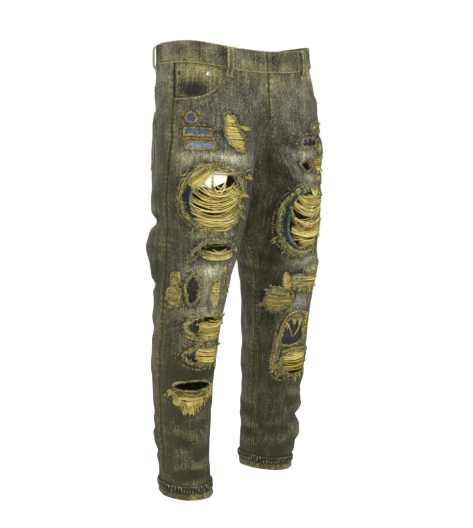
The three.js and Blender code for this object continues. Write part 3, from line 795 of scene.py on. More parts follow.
class Threads:
    """Collects thin tubes and makes one mesh of them."""

    def __init__(self) -> None:
        """Starts with no tubes."""
        self.points: list[Array] = []
        self.faces: list[list[int]] = []
        self.tones: list[Array] = []
        self.count = 0

    def add(self, paths: Array, radius: Array | float, tones: Array, sides: int = 4, taper: float = 0.5,
            facing: Array | None = None) -> None:
        """Adds tubes of the same number of points.

        Args:
            paths: Points in millimetres, as (tube, point, 3).
            radius: Radius of each tube.
            tones: Linear colour of each tube, as (tube, 3).
            sides: Sides of the tube.
            taper: Radius at the tips, as a share.
            facing: A direction across each tube, as (tube, 3).
        """
        tubes, steps = paths.shape[:2]
        tangent = np.gradient(paths, axis=1)
        tangent /= np.maximum(np.linalg.norm(tangent, axis=-1, keepdims=True), 1e-9)
        across = np.array([0.31, -0.92, 0.24]) if facing is None else facing[:, None, :]
        u = np.cross(tangent, np.broadcast_to(across, tangent.shape))
        u /= np.maximum(np.linalg.norm(u, axis=-1, keepdims=True), 1e-9)
        v = np.cross(tangent, u)
        share = np.linspace(0, 1, steps)
        thick = taper + (1 - taper) * np.minimum(1, 4 * np.minimum(share, 1 - share))
        size = np.broadcast_to(np.asarray(radius, float).reshape(-1, 1), (tubes, 1)) * thick[None, :]
        a = 2 * math.pi * np.arange(sides) / sides
        ring = (np.cos(a)[:, None] * u[:, :, None, :] + np.sin(a)[:, None] * v[:, :, None, :])
        body = paths[:, :, None, :] + size[:, :, None, None] * ring
        index = self.count + np.arange(tubes * steps * sides).reshape(tubes, steps, sides)
        after = np.roll(index, -1, axis=2)
        quads = np.stack([index[:, :-1], after[:, :-1], after[:, 1:], index[:, 1:]], axis=-1).reshape(-1, 4)
        self.faces += quads.tolist()
        self.faces += index[:, 0, ::-1].tolist()
        self.faces += index[:, -1].tolist()
        self.points.append(body.reshape(-1, 3))
        self.tones.append(np.repeat(tones, steps * sides, axis=0))
        self.count += tubes * steps * sides

    def build(self, name: str) -> bpy.types.Object:
        """Makes the mesh, with the tubes' tones as an attribute.

        Args:
            name: The piece's name.

        Returns:
            The piece.
        """
        item = new_object(name, np.concatenate(self.points), self.faces)
        set_attribute(item, "tone", np.concatenate(self.tones))
        return item


class Palette(Enum):
    """Thread colours."""

    WEFT = swatches((222, 205, 122), (206, 187, 102), (188, 168, 84), (150, 132, 60), (230, 217, 150))
    MAT = swatches((190, 172, 88), (160, 142, 66), (124, 110, 46), (90, 80, 36), (206, 190, 114))
    GOLD = swatches((222, 200, 86), (196, 172, 58), (150, 130, 40), (106, 92, 34), (226, 210, 118))
    FRAY = swatches((190, 180, 100), (150, 144, 72), (98, 98, 56), (120, 126, 74), (212, 204, 148),
                    (52, 52, 34), (78, 92, 70))
    LINT = swatches((152, 144, 114), (118, 111, 88), (84, 79, 62), (182, 173, 132), (54, 50, 38),
                    (138, 132, 84))
    PALE = swatches((196, 190, 160), (158, 152, 124), (112, 106, 90), (214, 210, 184), (84, 78, 66))
    WHIP = swatches((196, 172, 112), (176, 136, 120), (140, 104, 98), (208, 188, 134), (88, 74, 62))
    STITCH = swatches((150, 132, 80), (126, 112, 72), (166, 150, 98), (104, 96, 66), (136, 108, 70))
    SEAM = swatches((172, 156, 86), (142, 130, 74), (108, 102, 64), (84, 80, 54))
    BULK = swatches((62, 58, 42), (48, 45, 32))

    def pick(self, rng: np.random.Generator, count: int) -> Array:
        """Draws a tone for each thread, each a little lighter or darker."""
        drawn = np.array(self.value)[rng.integers(0, len(self.value), count)]
        return drawn * rng.uniform(0.8, 1.15, (count, 1))


WEFT, MAT, GOLD, FRAY, LINT, PALE, WHIP, STITCH, SEAM, BULK = Palette


# ------------------------------------------------------------------ finishes

class Graph:
    """A material's node tree."""

    def __init__(self, name: str) -> None:
        """Starts a material with a shader and an output.

        Args:
            name: The material's name.
        """
        self.material = bpy.data.materials.new(name)
        self.material.use_nodes = True
        self.tree = self.material.node_tree
        self.tree.nodes.clear()
        self.shader = self.tree.nodes.new("ShaderNodeBsdfPrincipled")
        output = self.tree.nodes.new("ShaderNodeOutputMaterial")
        self.tree.links.new(self.shader.outputs[0], output.inputs[0])

    def node(self, kind: str, inputs: dict[int | str, object] | None = None,
             **settings: object) -> bpy.types.Node:
        """Adds a node.

        Args:
            kind: The node's type.
            inputs: Values or sockets for its inputs.
            settings: Its properties.

        Returns:
            The node.
        """
        node = self.tree.nodes.new(kind)
        for key, value in settings.items():
            setattr(node, key, value)
        for key, value in (inputs or {}).items():
            if isinstance(value, bpy.types.NodeSocket):
                self.tree.links.new(value, node.inputs[key])
            else:
                node.inputs[key].default_value = value
        return node

    def math(self, operation: str, *values: object, clamp: bool = False) -> bpy.types.NodeSocket:
        """Adds a sum, product or other operation on two or three values."""
        inputs = dict(enumerate(values))
        return self.node("ShaderNodeMath", inputs, operation=operation, use_clamp=clamp).outputs[0]

    def mix(self, share: object, a: object, b: object) -> bpy.types.NodeSocket:
        """Adds a blend of two colours.

        Args:
            share: How much there is of the second.
            a: The first colour.
            b: The second colour.

        Returns:
            The blend.
        """
        a = (*a, 1.0) if isinstance(a, tuple) else a
        b = (*b, 1.0) if isinstance(b, tuple) else b
        return self.node("ShaderNodeMix", {0: share, 6: a, 7: b}, data_type="RGBA").outputs[2]

    def noise(self, vector: object, scale: float, detail: float = 3.0,
              roughness: float = 0.55) -> bpy.types.NodeSocket:
        """Adds a noise pattern from 0 to 1.

        Args:
            vector: Where it is read.
            scale: Its scale.
            detail: Its number of octaves.
            roughness: How strong the small octaves are.

        Returns:
            The pattern.
        """
        node = self.node("ShaderNodeTexNoise", {"Vector": vector, "Scale": scale, "Detail": detail,
                                               "Roughness": roughness})
        return node.outputs[0]

    def ramp(self, value: object, stops: Sequence[tuple[float, Colour]]) -> bpy.types.NodeSocket:
        """Adds a colour ramp.

        Args:
            value: What runs along it.
            stops: Its places and colours.

        Returns:
            The colour.
        """
        node = self.node("ShaderNodeValToRGB", {0: value})
        elements = node.color_ramp.elements
        while len(elements) < len(stops):
            elements.new(0.5)
        for element, (position, colour) in zip(elements, stops):
            element.position = position
            element.color = (*colour, 1.0)
        return node.outputs[0]

    def bump(self, height: object, strength: float, distance: float) -> bpy.types.NodeSocket:
        """Turns heights into a normal."""
        inputs = {"Strength": strength, "Distance": distance, "Height": height}
        return self.node("ShaderNodeBump", inputs).outputs[0]

    def swing(self, value: object, amount: float) -> bpy.types.NodeSocket:
        """Returns how far a value is from a half, times an amount."""
        return self.math("MULTIPLY", self.math("SUBTRACT", value, 0.5), amount)

    def streaks(self, vector: object, across: float, along: float) -> bpy.types.NodeSocket:
        """Adds noise that is drawn out along the warp."""
        stretch = self.node("ShaderNodeMapping", {0: vector, 3: (across, along, 1.0)})
        return self.noise(stretch.outputs[0], 1.0, 3.0, 0.6)

    def span(self, value: object, low: float, high: float) -> bpy.types.NodeSocket:
        """Stretches a value so that low becomes 0 and high becomes 1."""
        return self.node("ShaderNodeMapRange", {0: value, 1: low, 2: high, 3: 0.0, 4: 1.0}).outputs[0]

    def finish(self, colour: object, roughness: object, bump: object = None,
               others: dict[str, float] | None = None) -> bpy.types.Material:
        """Connects the shader.

        Args:
            colour: Its base colour.
            roughness: Its roughness.
            bump: The socket that turns its normal, if any.
            others: Values of its other inputs.

        Returns:
            The material.
        """
        inputs = {"Base Color": colour, "Normal": bump, "Roughness": roughness, **(others or {})}
        for name, value in inputs.items():
            if isinstance(value, bpy.types.NodeSocket):
                self.tree.links.new(value, self.shader.inputs[name])
            elif value is not None:
                self.shader.inputs[name].default_value = value
        return self.material

    def attribute(self, name: str) -> tuple[bpy.types.NodeSocket, ...]:
        """Reads an attribute.

        Args:
            name: Its name.

        Returns:
            Its colour and three parts.
        """
        node = self.node("ShaderNodeAttribute", attribute_name=name)
        parts = self.node("ShaderNodeSeparateColor", {0: node.outputs["Color"]})
        return (node.outputs["Color"], parts.outputs[0], parts.outputs[1], parts.outputs[2])


@dataclass(frozen=True)
class ClothFinish:
    """Washed twill: mottled, streaked along the warp, worn pale, stained, dirty and given painted light and
    shade where the paint says.
    """

    name: str
    shades: tuple[Colour, Colour, Colour, Colour, Colour]
    stain: tuple[Colour, Colour] = swatches((62, 60, 30), (166, 158, 104))
    wrong_side: tuple[Colour, Colour] = swatches((54, 46, 24), (120, 106, 62))
    fray: tuple[Colour, Colour, Colour] = swatches((44, 42, 32), (130, 124, 86), (192, 185, 142))
    base: float = 0.30
    mottle: float = 0.30
    streak: float = 0.36
    grain: float = 0.44
    stain_spread: float = 0.38
    weave_pitch: float = 0.0013
    weave_depth: float = 0.35
    roughness: float = 0.93
    sheen: float = 0.04

    def material(self) -> bpy.types.Material:
        """Builds the material.

        Returns:
            The material.
        """
        g = Graph(self.name)
        place = g.node("ShaderNodeTexCoord")
        flat = place.outputs["UV"]
        spot = place.outputs["Object"]
        _, light, ochre, dark = g.attribute("tint")
        _, fray, inside, _ = g.attribute("zone")
        cloud = g.noise(spot, 16.0, 4.0, 0.6)
        blot = g.noise(spot, 62.0, 5.0, 0.68)
        grain = g.noise(spot, 620.0, 2.0, 0.7)
        slub = g.streaks(flat, 520.0, 34.0)
        fleck = g.noise(spot, 340.0, 3.0, 0.75)
        strand = g.streaks(flat, 190.0, 15.0)
        value = g.math("MULTIPLY_ADD", cloud, self.mottle * 2, self.base - self.mottle)
        for part, amount in ((blot, self.mottle * 1.1), (slub, self.streak), (grain, self.grain),
                             (fleck, self.grain * 3.6), (strand, self.streak * 1.8)):
            value = g.math("ADD", value, g.swing(part, amount))
        value = g.math("ADD", value, light)
        value = g.math("SUBTRACT", value, dark)
        ends = (0.0, 0.28, 0.5, 0.74, 1.0)
        colour = g.ramp(value, tuple(zip(ends, self.shades)))
        patchy = g.span(g.noise(spot, 30.0, 4.0, 0.65), 0.44, 0.78)
        ochre_share = g.math("MULTIPLY_ADD", patchy, self.stain_spread, ochre)
        ochre_share = g.math("MINIMUM", ochre_share, 0.92, clamp=True)
        colour = g.mix(ochre_share, colour, g.ramp(value, ((0.1, self.stain[0]), (0.95, self.stain[1]))))
        tuft = g.noise(spot, 330.0, 3.0, 0.75)
        fray_colour = g.ramp(tuft, ((0.34, self.fray[0]), (0.5, self.fray[1]), (0.68, self.fray[2])))
        fray_edge = g.math("ADD", fray, g.swing(tuft, 0.9))
        colour = g.mix(g.span(fray_edge, 0.32, 0.62), colour, fray_colour)
        wrong = g.ramp(g.math("ADD", slub, g.swing(blot, 0.8)),
                       ((0.25, self.wrong_side[0]), (0.75, self.wrong_side[1])))
        colour = g.mix(inside, colour, wrong)
        scale = 2 * math.pi / (10 * self.weave_pitch)
        twill = g.node("ShaderNodeTexWave", bands_direction="DIAGONAL", inputs={
            "Vector": flat, "Scale": scale, "Distortion": 1.2, "Detail": 1.0})
        height = g.math("MULTIPLY_ADD", slub, 1.4, twill.outputs[1])
        height = g.math("ADD", height, g.math("MULTIPLY", tuft, g.math("MULTIPLY_ADD", fray, 3.0)))
        height = g.math("ADD", height, blot)
        bump = g.bump(height, self.weave_depth, 0.0009)
        return g.finish(colour, self.roughness, bump, {
            "Specular IOR Level": 0.18, "Sheen Weight": self.sheen, "Sheen Roughness": 0.5})


@dataclass(frozen=True)
class ThreadFinish:
    """Cotton yarn in the tone that each thread carries, uneven along its length."""

    name: str
    roughness: float = 0.9
    unevenness: float = 0.5

    def material(self) -> bpy.types.Material:
        """Builds the material.

        Returns:
            The material.
        """
        g = Graph(self.name)
        spot = g.node("ShaderNodeTexCoord").outputs["Object"]
        tone = g.attribute("tone")[0]
        fibre = g.noise(spot, 480.0, 3.0, 0.7)
        soil = g.noise(spot, 46.0, 3.0, 0.6)
        dim = g.math("MULTIPLY", g.span(fibre, 0.2, 0.62), g.span(soil, 0.18, 0.56))
        low = g.node("ShaderNodeVectorMath", {0: tone, 1: (0.42, 0.38, 0.3)}, operation="MULTIPLY").outputs[0]
        colour = g.mix(g.math("MAXIMUM", dim, 1 - self.unevenness), low, tone)
        return g.finish(colour, self.roughness, g.bump(fibre, 0.5, 0.0003), {"Specular IOR Level": 0.2})


@dataclass(frozen=True)
class MetalFinish:
    """Tarnished metal, brighter on its worn spots."""

    name: str
    worn: Colour
    tarnished: Colour
    roughness: float = 0.42

    def material(self) -> bpy.types.Material:
        """Builds the material.

        Returns:
            The material.
        """
        g = Graph(self.name)
        spot = g.node("ShaderNodeTexCoord").outputs["Object"]
        patina = g.span(g.noise(spot, 420.0, 4.0, 0.65), 0.38, 0.62)
        colour = g.mix(patina, self.tarnished, self.worn)
        rough = g.node("ShaderNodeMapRange", {
            0: patina, 1: 0.0, 2: 1.0, 3: self.roughness + 0.28, 4: self.roughness})
        bump = g.bump(g.noise(spot, 900.0, 3.0), 0.35, 0.0002)
        return g.finish(colour, rough.outputs[0], bump, {"Metallic": 0.85})


DENIM = ClothFinish("denim", swatches(
    (30, 29, 21), (62, 61, 46), (94, 93, 75), (130, 128, 106), (184, 182, 158)))
DARK_DENIM = ClothFinish("dark_denim", swatches(
    (18, 18, 16), (36, 35, 31), (52, 51, 46), (76, 75, 68), (134, 132, 118)), stain_spread=0.15, base=0.16)
NAVY = ClothFinish("navy_cloth", swatches(
    (14, 20, 27), (23, 32, 40), (34, 46, 54), (50, 64, 71), (98, 112, 110)),
    fray=swatches((26, 38, 40), (62, 84, 72), (138, 140, 92)), stain_spread=0.1, mottle=0.2, streak=0.4)
BLUE = ClothFinish("blue_cloth", swatches(
    (40, 49, 70), (60, 74, 102), (84, 97, 122), (122, 130, 142), (170, 173, 172)),
    stain_spread=0.05, mottle=0.24, streak=0.3, base=0.3)
WRONG_SIDE = ClothFinish("turned_up_denim", swatches(
    (30, 28, 17), (56, 52, 34), (80, 76, 52), (106, 101, 72), (150, 145, 110)), base=0.42)
COTTON = ClothFinish("pocket_cotton", swatches(
    (150, 146, 128), (196, 192, 176), (222, 220, 206), (236, 235, 224), (246, 245, 238)),
    wrong_side=swatches((190, 186, 168), (226, 223, 208)),
    stain_spread=0.06, mottle=0.16, streak=0.1, grain=0.1, base=0.6)
YARN = ThreadFinish("weft_yarn")
SEWING = ThreadFinish("sewing_thread", unevenness=0.6)
COPPER = MetalFinish("old_copper", *swatches((92, 76, 60), (38, 33, 27)))
PALE_METAL = MetalFinish("worn_rivet", *swatches((206, 200, 184), (112, 102, 84)))
GUNMETAL = MetalFinish("brown_metal", *swatches((98, 86, 72), (36, 33, 28)))


class Wardrobe:
    """Keeps one material of each finish, and hangs finished pieces on the root body."""

    def __init__(self) -> None:
        """Starts empty."""
        self.made: dict[str, bpy.types.Material] = {}

    def dress(self, item: bpy.types.Object, finish: ClothFinish | ThreadFinish | MetalFinish,
              replaces: Sequence[str] = ()) -> bpy.types.Object:
        """Gives a piece its material and body, and hides the nodes it stands for.

        Args:
            item: The piece.
            finish: Its finish.
            replaces: Nodes that it stands for.

        Returns:
            The piece.
        """
        if finish.name not in self.made:
            self.made[finish.name] = finish.material()
        item.data.materials.clear()
        item.data.materials.append(self.made[finish.name])
        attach(item, "root")
        if replaces:
            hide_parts(*replaces)
        LOG.info("%s: %d faces", item.name, len(item.data.polygons))
        return item

    def cloth(self, shell: Shell, node: str, finish: ClothFinish, slot: str, flat: Flat,
              held: str = "stretched", rests_on: Sequence[str] = ("waistband",)) -> bpy.types.Object:
        """Builds a cloth piece that stands for a node and dresses it.

        Args:
            shell: The piece's wall.
            node: The node it stands for.
            finish: Its finish.
            slot: The record's slot; not used.
            flat: Its flat size; not used.
            held: How the cloth is held; not used.
            rests_on: What holds it; not used.

        Returns:
            The piece.
        """
        item = shell.build(f"{node}_cloth")
        self.dress(item, finish, (node,))
        return item


# ------------------------------------------------------------------ panels

@dataclass(frozen=True)
class Blot:
    """A soft patch on a panel: worn paleness, stain, dirt, painted highlight and painted shade."""

    x: float
    h: float
    width: float
    height: float
    light: float = 0.0
    ochre: float = 0.0
    dark: float = 0.0

    def share(self, x: Array, h: Array) -> Array:
        """Returns its strength at places."""
        return np.exp(-(((x - self.x) / (self.width / 2)) ** 2) - ((h - self.h) / (self.height / 2)) ** 2)


BlotRow = tuple[float, float, float, float, float]


def blots_of(light: Sequence[BlotRow] = (), ochre: Sequence[BlotRow] = (),
             dark: Sequence[BlotRow] = ()) -> tuple[Blot, ...]:
    """Makes blots from rows of (x, h, width, height, amount).

    Args:
        light: Where the cloth is worn pale, with painted highlights on the folds low on the leg.
        ochre: Where it is stained, or cleaner where the amount is below 0.
        dark: Where it is darker: dirt, with painted shade between the legs, behind the knees and in the folds
            low on the leg.

    Returns:
        The blots.
    """
    return (tuple(Blot(*row[:4], light=row[4]) for row in light)
            + tuple(Blot(*row[:4], ochre=row[4]) for row in ochre)
            + tuple(Blot(*row[:4], dark=row[4]) for row in dark))


def trim(x: Array, h: Array, outlines: Sequence[Outline],
         keep_inside: bool = False) -> tuple[Array, Array, Array]:
    """Cuts a grid of places along outlines, and moves the cut's edge onto them.

    Args:
        x: The grid's distances in from the outseam.
        h: The grid's heights.
        outlines: The outlines.
        keep_inside: Whether the inside is what stays.

    Returns:
        The moved x and h, and which quads are left.
    """
    places = np.stack([x, h], axis=-1)
    centre = (places[:-1, :-1] + places[1:, 1:] + places[:-1, 1:] + places[1:, :-1]) / 4
    kept = np.full(centre.shape[:2], not keep_inside)
    target = places.copy()
    best = np.full(x.shape, np.inf)
    for outline in outlines:
        low, high = outline.min(axis=0) - CUT_MARGIN, outline.max(axis=0) + CUT_MARGIN
        near = ((centre > low) & (centre < high)).all(axis=-1)
        inside = np.zeros(kept.shape, bool)
        inside[near] = inside_outline(centre[near], outline)
        kept = (kept | inside) if keep_inside else (kept & ~inside)
        near = ((places > low) & (places < high)).all(axis=-1)
        found, distance = nearest_on_outline(places[near], outline)
        closer = distance < best[near]
        moved, record = target[near], best[near]
        moved[closer], record[closer] = found[closer], distance[closer]
        target[near], best[near] = moved, record
    rows, cols = x.shape
    has_kept = np.zeros((rows, cols), bool)
    has_cut = np.zeros((rows, cols), bool)
    for di in (0, 1):
        for dj in (0, 1):
            has_kept[di:rows - 1 + di, dj:cols - 1 + dj] |= kept
            has_cut[di:rows - 1 + di, dj:cols - 1 + dj] |= ~kept
    edge = has_kept & has_cut & (best < CUT_REACH)
    places[edge] = target[edge]
    return places[..., 0], places[..., 1], kept


def mouth_outline(grow: float = 0.0) -> Outline:
    """Draws the corner that the pocket mouth takes out of a front.

    Args:
        grow: How far it is grown.

    Returns:
        The outline.
    """
    width, depth, power = 110.0 + grow, 70.0 + grow, 2 / 2.6
    a = np.linspace(0, math.pi / 2, 40)
    fall = depth * np.maximum(np.cos(a), 0) ** power
    curve = np.stack([width * np.sin(a) ** power, WAIST_SEAM - fall], axis=-1)
    return np.concatenate([[(-60.0, 60.0), (-60.0, WAIST_SEAM - depth)], curve, [(width, 60.0)]])


def yoke_line(share: Array) -> Array:
    """Returns the height of the yoke seam, deepest at the middle of the back."""
    return YOKE_SIDE - YOKE_DROP * (1.0 - share)


@dataclass
class Panel:
    """A front, a back or a yoke."""

    leg: Leg
    name: str
    cuts: tuple[Outline, ...] = ()
    rims: tuple[tuple[Outline, float], ...] = ()
    blots: tuple[Blot, ...] = ()
    columns: int = 78
    pitch: float = 3.1

    @property
    def kind(self) -> Kind:
        """The half of the leg that it covers."""
        return Kind.FRONT if self.name == "front" else Kind.BACK

    def places(self) -> tuple[Array, Array]:
        """Lays out the grid.

        Returns:
            Its distances in from the outseam, and its heights.
        """
        share = np.linspace(0, 1, self.columns + 1)
        top = np.full(share.shape, WAIST_SEAM - GAP)
        bottom = np.full(share.shape, self.leg.hem + LEG_END)
        if self.name == "yoke":
            bottom = yoke_line(share) + HALF_GAP
        if self.name == "back":
            top = yoke_line(share) - HALF_GAP
        rows = max(10, round(float((top - bottom).max()) / self.pitch))
        t = np.linspace(0, 1, rows + 1)[:, None]
        h = top[None, :] * (1 - t) + bottom[None, :] * t
        return (1 - share[None, :]) * self.leg.run(self.kind, h), h

    def seam_relief(self, x: Array, h: Array) -> Array:
        """Adds the sunk seams, felled ridges and puckers along the panel's edges.

        Args:
            x: Distances in from the outseam.
            h: Heights.

        Returns:
            How far they push the cloth out.
        """
        inner = self.leg.run(self.kind, h) - x
        ripple = pucker(h) * (0.35 + 0.65 * np.sin(h / 37) ** 2)
        level = -0.6 * bell(x, 2.0) - 0.6 * bell(inner, 2.0)
        if self.name == "front":
            level += 0.7 * smooth(1, 2.5, inner) * smooth(12, 10.5, inner) + 0.4 * ripple * bell(inner - 6, 6)
            level += 0.3 * ripple * bell(x - 3, 5)
        else:
            level += 0.8 * smooth(1, 2.5, x) * smooth(12, 10.5, x) + 0.45 * ripple * bell(x - 6, 6)
        return level

    def fly(self, x: Array, h: Array) -> tuple[Array, Array]:
        """Finds where the left front's fly is.

        Args:
            x: Distances in from the outseam.
            h: Heights.

        Returns:
            How far it reaches over the middle, and how far it is lifted.
        """
        if self.name != "front" or self.leg.side < 0:
            return np.zeros(x.shape), np.zeros(x.shape)
        inner = self.leg.run(self.kind, h) - x
        return fly_reach(inner, h), fly_raise(inner, h)

    def paint(self, x: Array, h: Array) -> Paint:
        """Works out worn paleness, stain, dirt, fray, and painted highlights and shade at places.

        Args:
            x: Distances in from the outseam.
            h: Heights.

        Returns:
            The paint.
        """
        leg, kind = self.leg, self.kind
        run = leg.run(kind, h)
        inner = run - x
        paint = Paint.plain(x.shape)
        paint.wear_and_shade(self.blots, x, h)
        light, ochre, dark, fray = paint.light, paint.ochre, paint.dark, paint.fray
        angle = leg.panel_angle(kind, 1 - x / run, h)
        # Crease ridges are painted lighter, partly worn pale and partly painted highlight; troughs get
        # painted shade.
        crease = leg.crease_depth(angle, h) * smooth(WAIST_SEAM - 2, WAIST_SEAM - 34, h)
        light += 0.07 * np.clip(crease, 0, 2)
        dark += 0.08 * np.clip(-crease, 0, 3)
        tick = 0.5 + 0.5 * pucker(h) * np.abs(np.sin(h / 37))
        for edge, stained in ((x, 0.26), (inner, 0.12)):
            near = bell(edge - 4, 5)
            light += 0.16 * near * tick
            dark += 0.12 * near * (1 - tick) + 0.18 * bell(edge, 1.4)
            ochre += stained * bell(edge - 4, 7)
        dark += (0.13 * smooth(-600, -700, h) + 0.06 * smooth(-740, -820, h)
                 + 0.10 * smooth(60, 10, x) * smooth(-120, -220, h))
        light += 0.08 * smooth(-110, -60, h)
        ochre += 0.24 * smooth(-520, -660, h) + 0.16 * smooth(70, 10, x) * smooth(-250, -340, h)
        if self.name == "front":
            # Painted shadow: a dark line along the front's middle edge, where the fly laps over it, down to
            # the crotch.
            dark += 0.34 * bell(inner, 1.8) * smooth(-350, -300, h)
            mouth = nearest_on_outline(np.stack([x, h], axis=-1), mouth_outline())[1]
            # The mouth's rolled edge is worn pale; the darker band 5 mm out from it is painted shade beside
            # the roll.
            light += 0.3 * bell(mouth, 2.2) - 0.1 * bell(mouth - 5, 3)
            ochre += 0.3 * bell(mouth, 10)
        places = np.stack([x, h], axis=-1)
        for outline, band in self.rims:
            low, high = outline.min(axis=0) - 2.5 * band, outline.max(axis=0) + 2.5 * band
            near = ((places > low) & (places < high)).all(axis=-1)
            distance = nearest_on_outline(places[near], outline)[1]
            distance[inside_outline(places[near], outline)] = 0
            fray[near] = np.maximum(fray[near], smooth(1.4 * band, 0.2 * band, distance))
            dark[near] += 0.16 * bell(distance - 1.6 * band, 0.8 * band)
        return paint

    def build(self, wardrobe: Wardrobe) -> bpy.types.Object:
        """Makes the panel.

        Args:
            wardrobe: Dresses the piece.

        Returns:
            The piece.
        """
        x, h = self.places()
        kept = np.ones((x.shape[0] - 1, x.shape[1] - 1), bool)
        if self.cuts:
            x, h, kept = trim(x, h, self.cuts)
        paint = self.paint(x, h)
        reach, lift = self.fly(x, h)
        level = self.seam_relief(x, h) + lift + 0.9 * paint.fray
        outer, normal = self.leg.place(self.kind, x, h, level)
        inner = outer - normal * CLOTH
        middle = (h > CROTCH - 60) & (self.leg.side * inner[..., 0] < HALF_GAP)
        inner[..., 0] = np.where(middle, self.leg.side * HALF_GAP, inner[..., 0])
        for points in (outer, inner):
            points[..., 0] -= self.leg.side * reach
        uv = np.stack([x, h], axis=-1) * MM
        base = self.leg.place(self.kind, x, h, 0.0, creased=False)[0]
        shell = Shell(outer, inner, uv, paint, kept)
        node = f"{self.name}_{self.leg.name}"
        return wardrobe.cloth(shell, node, DENIM, "denim", flat_of(base, kept))


@dataclass
class Inlay:
    """A cloth piece on a panel or behind it, cut to an outline."""

    leg: Leg
    kind: Kind
    node: str
    outline: Outline
    level: float
    finish: ClothFinish
    slot: str
    thickness: float = CLOTH
    hole: Outline | None = None
    pitch: float = 2.9
    puff: float = 0.0
    light: float = 0.0
    edge_light: float = 0.25
    blots: tuple[Blot, ...] = ()

    def build(self, wardrobe: Wardrobe) -> bpy.types.Object:
        """Makes the piece.

        Args:
            wardrobe: Dresses the piece.

        Returns:
            The piece.
        """
        low, high = self.outline.min(axis=0), self.outline.max(axis=0)
        xs = np.arange(low[0] - self.pitch, high[0] + 2 * self.pitch, self.pitch)
        hs = np.arange(high[1] + self.pitch, low[1] - 2 * self.pitch, -self.pitch)
        x, h = np.meshgrid(xs, hs)
        x, h, kept = trim(x, h, [self.outline], keep_inside=True)
        if self.hole is not None:
            x, h, left = trim(x, h, [self.hole])
            kept &= left
        places = np.stack([x, h], axis=-1)
        edge = nearest_on_outline(places, self.outline)[1]
        level = self.level + self.puff * smooth(0, 26, edge) - 0.35 * bell(edge - 4.5, 1.8) * (self.puff > 0)
        outer, normal = self.leg.place(self.kind, x, h, level)
        inner = outer - normal * self.thickness
        paint = Paint.plain(x.shape, self.light)
        paint.light += self.edge_light * bell(edge, 2.4)
        paint.wear_and_shade(self.blots, x, h)
        if self.hole is not None:
            rim = nearest_on_outline(places, self.hole)[1]
            paint.fray = smooth(9, 1, rim)
        base = self.leg.place(self.kind, x, h, 0.0, creased=False)[0]
        shell = Shell(outer, inner, places * MM, paint, kept)
        rests = "waistband" if self.kind is Kind.BACK else f"front_{self.leg.name}"
        flat = flat_of(base, kept)
        return wardrobe.cloth(shell, self.node, self.finish, self.slot, flat, rests_on=(rests,))


# ------------------------------------------------------------------ waist

